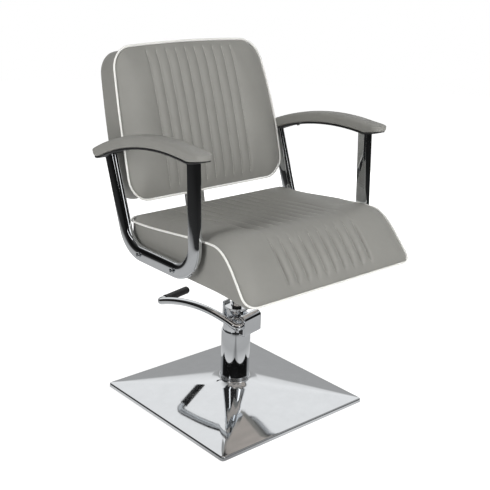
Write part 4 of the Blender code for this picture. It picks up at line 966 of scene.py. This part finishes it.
def make_seat():
    half_count = 60
    points = seat_profile(half_count)
    distances = walk(points)
    length = distances[-1]
    crest = distances[half_count]
    rows = spread_rows(length, SEAT_REAR_CORNER, SEAT_TOE_CORNER, ROW_PITCH)
    columns = cover_columns(SEAT_HALF)
    lines = stitch_places()
    lift = Vector((0, 0, seat_z))
    grid = []
    row_normals = []
    sewing_rows = []
    threads = {}
    for row in rows:
        point, travel = at_distance(points, distances, row)
        normal = Vector((0, travel.z, -travel.y)).normalized()
        row_normals.append(normal)
        row_half = SEAT_HALF - corner_trim(row, SEAT_REAR_CORNER) - corner_trim(length - row, SEAT_TOE_CORNER)
        row_half += SEAT_FLARE * max(row - crest, 0) / (length - crest)
        sewn = fade(row, 0.010, 0.020) * fade(length - row, 0.020, 0.022)
        sewn *= 1 - 0.95 * bell(row - crest, 0.022, 0.034)
        sewing_rows.append(sewn)
        depth = CHANNEL_PUFF * sewn * (1 + 0.6 * fade(row, crest, 0.05))
        roll = SEAT_ROLL + (EDGE_ROLL - SEAT_ROLL) * fade(row, crest - 0.06, 0.12)
        line = []
        for x, puff in columns:
            place = fit_column(x, SEAT_HALF, row_half)
            edge = min(row_half - abs(place), row, length - row)
            rise = swell(edge, SEAT_CROWN, roll) - (1 - puff) * depth
            rise += knee_roll(row - crest, place) * fade(edge, 0.0, 0.040)
            spot = Vector((place, 0, 0)) + point + normal * rise + lift
            spot += normal * ripple(spot) * fade(edge, 0.004, 0.03)
            line.append(spot)
            if x in lines and sewn > STITCH_HOLD:
                threads.setdefault((x, row > crest), []).append((spot, normal))
        grid.append(line)

    bm, _, rim, edge_points, edge_normals, outs = sew_cover(grid, row_normals, columns, sewing_rows, True)
    rings = [rim]
    for share, inset in SEAT_BOXING:
        ring = []
        for point, out in zip(edge_points, outs):
            foot = point - Vector((out.x, out.y, 0)).normalized() * inset
            ring.append(bm.verts.new((foot.x, foot.y, seat_z + (point.z - seat_z) * (1 - share))))
        rings.append(ring)
    for depth in (0.0, POCKET_DEPTH):
        rings.append([bm.verts.new((*pocket_edge(point), seat_z + depth)) for point in edge_points])
    loft_faces(bm, rings)
    bmesh.ops.triangulate(bm, faces=[bm.faces.new(rings[-1])])
    crease(bm, rings[-2:])
    add_cushion("seat", bm, edge_points, edge_normals, outs, threads)


def back_edge(height):
    y = BACK_FRONT + BACK_SLOPE * height + BACK_BEND * height ** 2
    return Vector((0, y, BACK_BOTTOM + height + seat_z))


def back_normal(height):
    return Vector((0, -1, BACK_SLOPE + 2 * BACK_BEND * height)).normalized()


def back_rear(height):
    return back_edge(height) - back_normal(height) * BACK_THICKNESS


def make_back():
    rows = spread_rows(BACK_HEIGHT, BACK_LOW_CORNER, BACK_TOP_CORNER, ROW_PITCH)
    row_normals = [back_normal(row) for row in rows]
    columns = cover_columns(BACK_HALF)
    threads = {x: [] for x in stitch_places()}
    grid = []
    halves = []
    sewing_rows = []
    for row, normal in zip(rows, row_normals):
        row_half = BACK_HALF - BACK_TAPER * max(row - BACK_WIDEST, 0) ** 2
        row_half -= corner_trim(row, BACK_LOW_CORNER) + corner_trim(BACK_HEIGHT - row, BACK_TOP_CORNER)
        halves.append(row_half)
        sewn = fade(row, 0.012, 0.030) * fade(BACK_HEIGHT - row, 0.008, 0.022)
        sewing_rows.append(sewn)
        line = []
        for x, puff in columns:
            place = fit_column(x, BACK_HALF, row_half)
            edge = min(row_half - abs(place), row, BACK_HEIGHT - row)
            rise = swell(edge, BACK_CROWN) - (1 - puff) * CHANNEL_PUFF * sewn
            arch = BACK_ARCH * (1 - (place / row_half) ** 2) * (row / BACK_HEIGHT) ** 4
            spot = Vector((place, 0, 0)) + back_edge(row + arch) + normal * rise
            spot += normal * ripple(spot + Vector((3, 1, 0))) * fade(edge, 0.004, 0.03)
            line.append(spot)
            if x in threads and sewn > 0.05:
                threads[x].append((spot, normal))
        grid.append(line)

    bm, seam, rim, edge_points, edge_normals, outs = sew_cover(grid, row_normals, columns, sewing_rows, False)
    rings = [rim]
    lifts = []
    for r, _ in seam:
        share = rows[r] / BACK_HEIGHT
        lifts.append(Vector((0, 0, BACK_REAR_RISE * share ** 4 - BACK_REAR_DROP * (1 - share) ** 6)))
    for share, inset in BACK_BOXING:
        rings.append([bm.verts.new(point - normal * BACK_THICKNESS * share - out * inset + lift * share)
                      for point, normal, out, lift in zip(edge_points, edge_normals, outs, lifts)])
    loft_faces(bm, rings)
    last = dict(zip(seam, rings[-1]))
    last_column = len(columns) - 1
    rear_rows = []
    for r, row in enumerate(rows):
        if r in (0, len(rows) - 1):
            rear_rows.append([last[r, c] for c in range(len(columns))])
            continue
        line = [last[r, 0]]
        for c in range(1, last_column):
            share = (columns[c][0] / BACK_HALF + 1) / 2
            spot = last[r, 0].co.lerp(last[r, last_column].co, share)
            edge = min((1 - abs(2 * share - 1)) * halves[r], row, BACK_HEIGHT - row)
            line.append(bm.verts.new(spot - row_normals[r] * (swell(edge, 0.0005) + ripple(spot, 0.0003))))
        rear_rows.append(line + [last[r, last_column]])
    for near, far in zip(rear_rows, rear_rows[1:]):
        for c in range(last_column):
            bm.faces.new((near[c], far[c], far[c + 1], near[c + 1]))
    add_cushion("back", bm, edge_points, edge_normals, outs, threads)


def make_bracket():
    """The flat bar from under the seat up the backrest's rear face."""
    thick = 0.006
    half_width = 0.035
    bend = 0.040
    top = 0.200
    steps = 12
    offset = 0.0006 + thick / 2
    level = seat_z - GAP - thick / 2
    foot = back_rear(0) - back_normal(0) * offset
    climb = Vector((0, BACK_SLOPE, 1)).normalized()
    corner = foot - climb * ((foot.z - level) / climb.z)
    front = Vector((0, 0.045, level))
    stations = [(front, Vector((0, 1, 0)))]
    stations += corner_arc(front, corner, foot, bend, 18)
    for step in range(steps + 1):
        height = top * step / steps
        normal = back_normal(height)
        travel = Vector((1, 0, 0)).cross(normal)
        stations.append((back_rear(height) - normal * offset, travel if travel.z > 0 else -travel))
    outline = rounded_rectangle(half_width, thick / 2, 0.0018, 3)
    bar = lofted([flat_section(point, travel, outline) for point, travel in stations])
    add_piece("bracket_bar", bar, "seat", "chrome", ["back_bracket"], sharp=50, material=SATIN, flat=True)


# Arms

PAD_CENTRE = Vector((0, PAD_CREST, PAD_CREST_HEIGHT - PAD_ARC_RADIUS + seat_z))


def pad_point(reach, radius):
    angle = reach / PAD_ARC_RADIUS
    return PAD_CENTRE + Vector((0, math.sin(angle), math.cos(angle))) * radius


def pad_travel(reach):
    angle = reach / PAD_ARC_RADIUS
    return Vector((0, math.cos(angle), -math.sin(angle)))


def pad_end_distance(reach):
    return min(PAD_FRONT_REACH + reach, PAD_REAR_REACH - reach)


def pad_lift(reach):
    if reach < 0:
        return (PAD_THICKNESS - PAD_TIP) * front_share(reach) ** 1.3
    short = max(1 - pad_end_distance(reach) / PAD_TAPER, 0.0)
    return PAD_THICKNESS * (1 - PAD_TIP_SHARE) * short ** 2


def front_share(reach):
    """How far a place is along the pad's front overhang, where its underside rises to a thin tip."""
    return min(max((-PAD_OVERHANG - reach) / (PAD_FRONT_REACH - PAD_OVERHANG), 0.0), 1.0)


def pad_share(reach):
    short = max(1 - pad_end_distance(reach) / (PAD_WIDTH / 2), 0.0)
    return math.sqrt(max(1 - short ** 2, 0.0))


def meet_arc(point, direction, radius):
    from_centre = Vector((0, point.y, point.z)) - PAD_CENTRE
    along = from_centre.dot(direction)
    return point + direction * (math.sqrt(along ** 2 + radius ** 2 - from_centre.length_squared) - along)


def pad_height(reach):
    return PAD_THICKNESS + PAD_FRONT_RISE * front_share(reach)


def pad_outline(reach):
    """A section of the pad: a crowned top, firm upper edges and a flat underside."""
    half = PAD_WIDTH / 2 * max(pad_share(reach), 0.04)
    return oval(half, (pad_height(reach) - pad_lift(reach)) / 2, 0.52, 0.40, 40)


def pad_stations(first, last, count):
    """Places along the pad, closer together towards its ends."""
    return [first + (last - first) * (1 - math.cos(math.pi * i / count)) / 2 for i in range(count + 1)]


# Screw head with its socket and shank: radius, height
ARM_SCREW = ((0, 0.0004), (0.0030, 0.0004), (0.0032, 0.0052), (0.0038, 0.0062), (0.0054, 0.0060),
             (0.0066, 0.0052), (0.0074, 0.0038), (0.0076, 0.0022), (0.0076, 0.0008), (0.0070, 0.0004),
             (0.004, 0.0004), (0.004, -0.060), (0, -0.060))


def make_arm(side, label):
    offset = Vector((side * ARM_PLANE, 0, 0))
    rear_corner = Vector((0, ARM_REAR_CORNER, ARM_RUN_HEIGHT + seat_z))
    front_corner = Vector((0, ARM_FRONT_POST, ARM_RUN_HEIGHT + seat_z))
    climb = Vector((0, ARM_REAR_LEAN, 1)).normalized()
    up = Vector((0, ARM_FRONT_LEAN, 1)).normalized()
    plate_low = PAD_ARC_RADIUS - 3 * GAP - PLATE_THICKNESS
    inside_pad = PAD_ARC_RADIUS + 0.013
    bends = corner_arc(rear_corner + climb, rear_corner, front_corner, ARM_BEND_RADIUS, 24)
    bends += corner_arc(rear_corner, front_corner, front_corner + up, ARM_BEND_RADIUS, 28)

    def sections(inset):
        outline = oval(ARM_TUBE_HALF_WIDTH - inset, ARM_TUBE_HALF_DEPTH - inset, ARM_TUBE_EXPONENT,
                       ARM_TUBE_EXPONENT, 64)
        rings = [flat_section(point, travel, outline) for point, travel in bends]
        rear_end = [meet_arc(point, climb, plate_low) for point in rings[0]]
        front_end = [meet_arc(point, up, inside_pad) for point in rings[-1]]
        return [[point + offset for point in ring] for ring in [rear_end] + rings + [front_end]]

    def pad_place(reach, radius):
        splay = PAD_SPLAY * (PAD_SPLAY_CENTRE - reach)
        return pad_point(reach, radius) + Vector((side * (PAD_PLANE + splay), 0, 0))

    walls = lofted(sections(0) + sections(ARM_TUBE_WALL)[::-1], closed=True)
    add_piece("arm_tube_" + label, walls, "seat", "chrome", ["arm_frame_" + label], sharp=60)

    cover = bmesh.new()
    rings = []
    for reach in pad_stations(-PAD_FRONT_REACH, PAD_REAR_REACH, 64):
        point = pad_place(reach, PAD_ARC_RADIUS + (pad_height(reach) + pad_lift(reach)) / 2)
        section = flat_section(point, pad_travel(reach), pad_outline(reach))
        rings.append([cover.verts.new(corner) for corner in section])
    loft_faces(cover, rings)
    cover.faces.new(rings[0])
    cover.faces.new(rings[-1])
    upper = len(rings[0]) // 2
    bmesh.ops.recalc_face_normals(cover, faces=cover.faces)
    settle(cover, {vert for ring in rings[3:-3] for vert in ring[1:upper - 1]}, PAD_SWELL)
    pad = add_piece("arm_cover_" + label, cover, "seat", "cover", ["arm_pad_" + label], sharp=70, levels=1)

    plates = []
    plate_middle = PAD_ARC_RADIUS - GAP - PLATE_THICKNESS / 2
    for reach in pad_stations(0.010 - PAD_FRONT_REACH, PAD_REAR_REACH - 0.009, 48):
        outline = rounded_rectangle(PLATE_HALF_WIDTH * pad_share(reach), PLATE_THICKNESS / 2, 0.0008, 2)
        point = pad_place(reach, plate_middle + pad_lift(reach))
        plates.append(flat_section(point, pad_travel(reach), outline))
    plate = lofted(plates)
    add_piece("arm_plate_" + label, plate, "seat", "black_steel", ["arm_pad_plate_" + label], sharp=50)

    turn = Matrix.Rotation(side * math.pi / 2, 4, "Y")
    for place, y in ARM_BOLTS:
        spot = Vector((side * (ARM_PLANE + ARM_TUBE_HALF_WIDTH), y, ARM_RUN_HEIGHT + seat_z))
        add_piece("arm_screw_%s_%s" % (label, place), turned(ARM_SCREW, 36), "seat", "chrome",
                  ["arm_bolt_%s_%s" % (label, place)], Matrix.Translation(spot) @ turn, 30)


# Studio

# Brightness in chrome: of the floor by distance as a share of FLOOR_SPAN, of the rest by height of view.
# The sweep stands behind the chair, a pale wall that shows in views from behind stands ahead of it, and the
# room is all else.
FLOOR_SPAN = 4.0
FLOOR_GLOW = ((0.0, 0.82), (0.10, 0.86), (0.28, 1.0), (1.0, 1.0))
# The floor's greys in chrome are a painted reflection, shown to glossy rays only.
FLOOR_IN_METAL = ((0.0, 0.70), (0.085, 0.66), (0.11, 0.54), (0.14, 0.45), (0.25, 0.48), (0.39, 0.47),
                  (0.44, 0.40), (0.515, 0.03), (1.0, 0.01))
SWEEP_IN_METAL = ((0.0, 0.34), (0.25, 0.43), (0.34, 0.80), (0.50, 0.95), (0.75, 0.90), (0.92, 0.30),
                  (1.0, 0.15))
ROOM_IN_METAL = ((0.0, 0.005), (0.30, 0.01), (0.45, 0.02), (0.80, 0.03), (1.0, 0.15))
WALL_IN_METAL = ((0.0, 0.005), (0.35, 0.01), (0.42, 0.42), (0.58, 0.52), (0.70, 0.06), (1.0, 0.15))
SWEEP_HEADING = (0.666, 0.746, 0.0)
WALL_HEADING = (0.45, -0.89, 0.0)
ACROSS_VIEW = (0.753, -0.657, 0.0)
AMBIENT = (0.08, 0.08, 0.08)
WHITE = (1.0, 1.0, 1.0)

# Name, place, size, watts, seen in chrome
LIGHTS = (("left_softbox", (-2.59, -0.23, 1.85), (0.9, 2.0), 44, False),
          ("front_softbox", (0.45, -2.56, 1.75), (1.0, 2.0), 50, False),
          ("rear_softbox", (2.0, 1.9, 1.0), (1.4, 1.8), 38, False),
          ("top_softbox", (0.0, -0.5, 3.2), (2.0, 2.0), 4, False),
          ("left_strip", (-2.57, -0.40, 2.3), (0.55, 3.0), 7, True),
          ("front_strip", (0.45, -2.56, 2.3), (0.80, 3.0), 11, True))


def vector_value(tree, operation, *inputs):
    return add_node(tree, "ShaderNodeVectorMath", *inputs, operation=operation).outputs["Value"]


def vector_result(tree, operation, *inputs):
    return add_node(tree, "ShaderNodeVectorMath", *inputs, operation=operation).outputs["Vector"]


def make_shader(tree, kind, *inputs, **values):
    return add_node(tree, "ShaderNode" + kind, *inputs, **values).outputs[0]


def make_floor():
    """Pale paper with the chair's shadow. In chrome it is painted greys, with painted shade
    under the base and along the view.
    """
    bm = bmesh.new()
    bmesh.ops.create_circle(bm, cap_ends=True, segments=96, radius=6.0)
    mesh = mesh_from("studio_floor", bm)
    bm.free()
    floor = add_object("studio_floor", mesh)
    material, tree, shader = new_material("studio_floor")
    mesh.materials.append(material)
    tree.nodes.remove(shader)
    rays = tree.nodes.new("ShaderNodeLightPath").outputs
    place = object_place(tree)
    distance = remap(tree, vector_value(tree, "LENGTH", place), 0.0, 1.0, 0.0, FLOOR_SPAN)
    paper = make_shader(tree, "BsdfDiffuse", Color=(0.36, 0.36, 0.36, 1))
    glow = make_shader(tree, "Emission", Color=grey_ramp(tree, distance, FLOOR_GLOW))
    pale = make_shader(tree, "AddShader", paper, glow)
    sides = add_node(tree, "ShaderNodeSeparateXYZ", vector_result(tree, "ABSOLUTE", place)).outputs
    reach = calculate(tree, "MAXIMUM", sides["X"], sides["Y"])
    aside = calculate(tree, "ABSOLUTE", vector_value(tree, "DOT_PRODUCT", place, ACROSS_VIEW))
    # Painted shade in chrome: a contact shadow under the base up to its edge, and a dark strip along the line
    # of view.
    painted_base_shadow = remap(tree, reach, 0.2, 1.0, 0.2706, 0.2726)
    painted_view_shade = remap(tree, aside, 0.45, 1.0, 0.0, 0.16)
    painted_shade_in_metal = calculate(tree, "MULTIPLY", painted_base_shadow, painted_view_shade)
    painted_greys = grey_ramp(tree, distance, FLOOR_IN_METAL)
    seen_in_metal = make_shader(tree, "Emission", Color=painted_greys, Strength=painted_shade_in_metal)
    # Other rays see plain paper with a painted glow of bounce light added.
    plain = make_shader(tree, "BsdfDiffuse", Color=(0.82, 0.82, 0.82, 1))
    bounce = make_shader(tree, "Emission", Color=(0.30, 0.30, 0.30, 1))
    lit = make_shader(tree, "AddShader", plain, bounce)
    in_metal = make_shader(tree, "MixShader", rays["Is Glossy Ray"], lit, seen_in_metal)
    chosen = make_shader(tree, "MixShader", rays["Is Camera Ray"], in_metal, pale)
    feed(tree, tree.nodes["Material Output"].inputs["Surface"], chosen)


def make_world():
    """A dark studio with a white sweep behind the chair, as the chrome shows it. The camera sees white."""
    world = bpy.data.worlds.new("studio")
    bpy.context.scene.world = world
    world.use_nodes = True
    tree = world.node_tree
    rays = tree.nodes.new("ShaderNodeLightPath").outputs
    direction = tree.nodes.new("ShaderNodeTexCoord").outputs["Generated"]
    height = add_node(tree, "ShaderNodeSeparateXYZ", direction).outputs["Z"]
    heading = vector_result(tree, "NORMALIZE", vector_result(tree, "MULTIPLY", direction, (1, 1, 0)))
    to_wall = remap(tree, vector_value(tree, "DOT_PRODUCT", heading, WALL_HEADING), 0.0, 1.0, 0.66, 0.82)
    to_sweep = remap(tree, vector_value(tree, "DOT_PRODUCT", heading, SWEEP_HEADING), 0.0, 1.0, 0.30, 0.62)
    room, wall, sweep = [grey_ramp(tree, height, stops)
                         for stops in (ROOM_IN_METAL, WALL_IN_METAL, SWEEP_IN_METAL)]
    studio = mix_colours(tree, to_sweep, mix_colours(tree, to_wall, room, wall), sweep)
    ambient = mix_colours(tree, rays["Is Glossy Ray"], AMBIENT, studio)
    background = tree.nodes["Background"]
    feed(tree, background.inputs["Color"], mix_colours(tree, rays["Is Camera Ray"], ambient, WHITE))
    background.inputs["Strength"].default_value = 1.0


def add_light(name, place, size, watts, in_metal):
    lamp = bpy.data.lights.new(name, "AREA")
    lamp.shape = "RECTANGLE"
    lamp.size, lamp.size_y = size
    lamp.energy = watts
    light = add_object(name, lamp)
    light.location = place
    light.rotation_mode = "QUATERNION"
    light.rotation_quaternion = (Vector((0, 0, 0.6)) - Vector(place)).to_track_quat("-Z", "Y")
    light.visible_glossy = in_metal
    light.visible_camera = False


def make_studio():
    make_floor()
    make_world()
    for light in LIGHTS:
        add_light(*light)
    camera_data = bpy.data.cameras.new("photo_camera")
    camera_data.lens = CAMERA_LENS
    camera_data.sensor_width = 36.0
    camera = add_object("photo_camera", camera_data)
    backward = CAMERA_RIGHT.cross(CAMERA_UP).normalized()
    turn = Matrix((CAMERA_RIGHT, CAMERA_UP, backward)).transposed()
    camera.matrix_world = Matrix.Translation(CAMERA_PLACE) @ turn.to_4x4()
    bpy.context.scene.camera = camera
    bpy.context.scene.view_settings.view_transform = "Standard"


dress_cad_nodes()
make_base()
make_pump_head()
make_lift()
make_lever()
make_seat()
make_back()
make_bracket()
make_arm(1, "left")
make_arm(-1, "right")
make_studio()
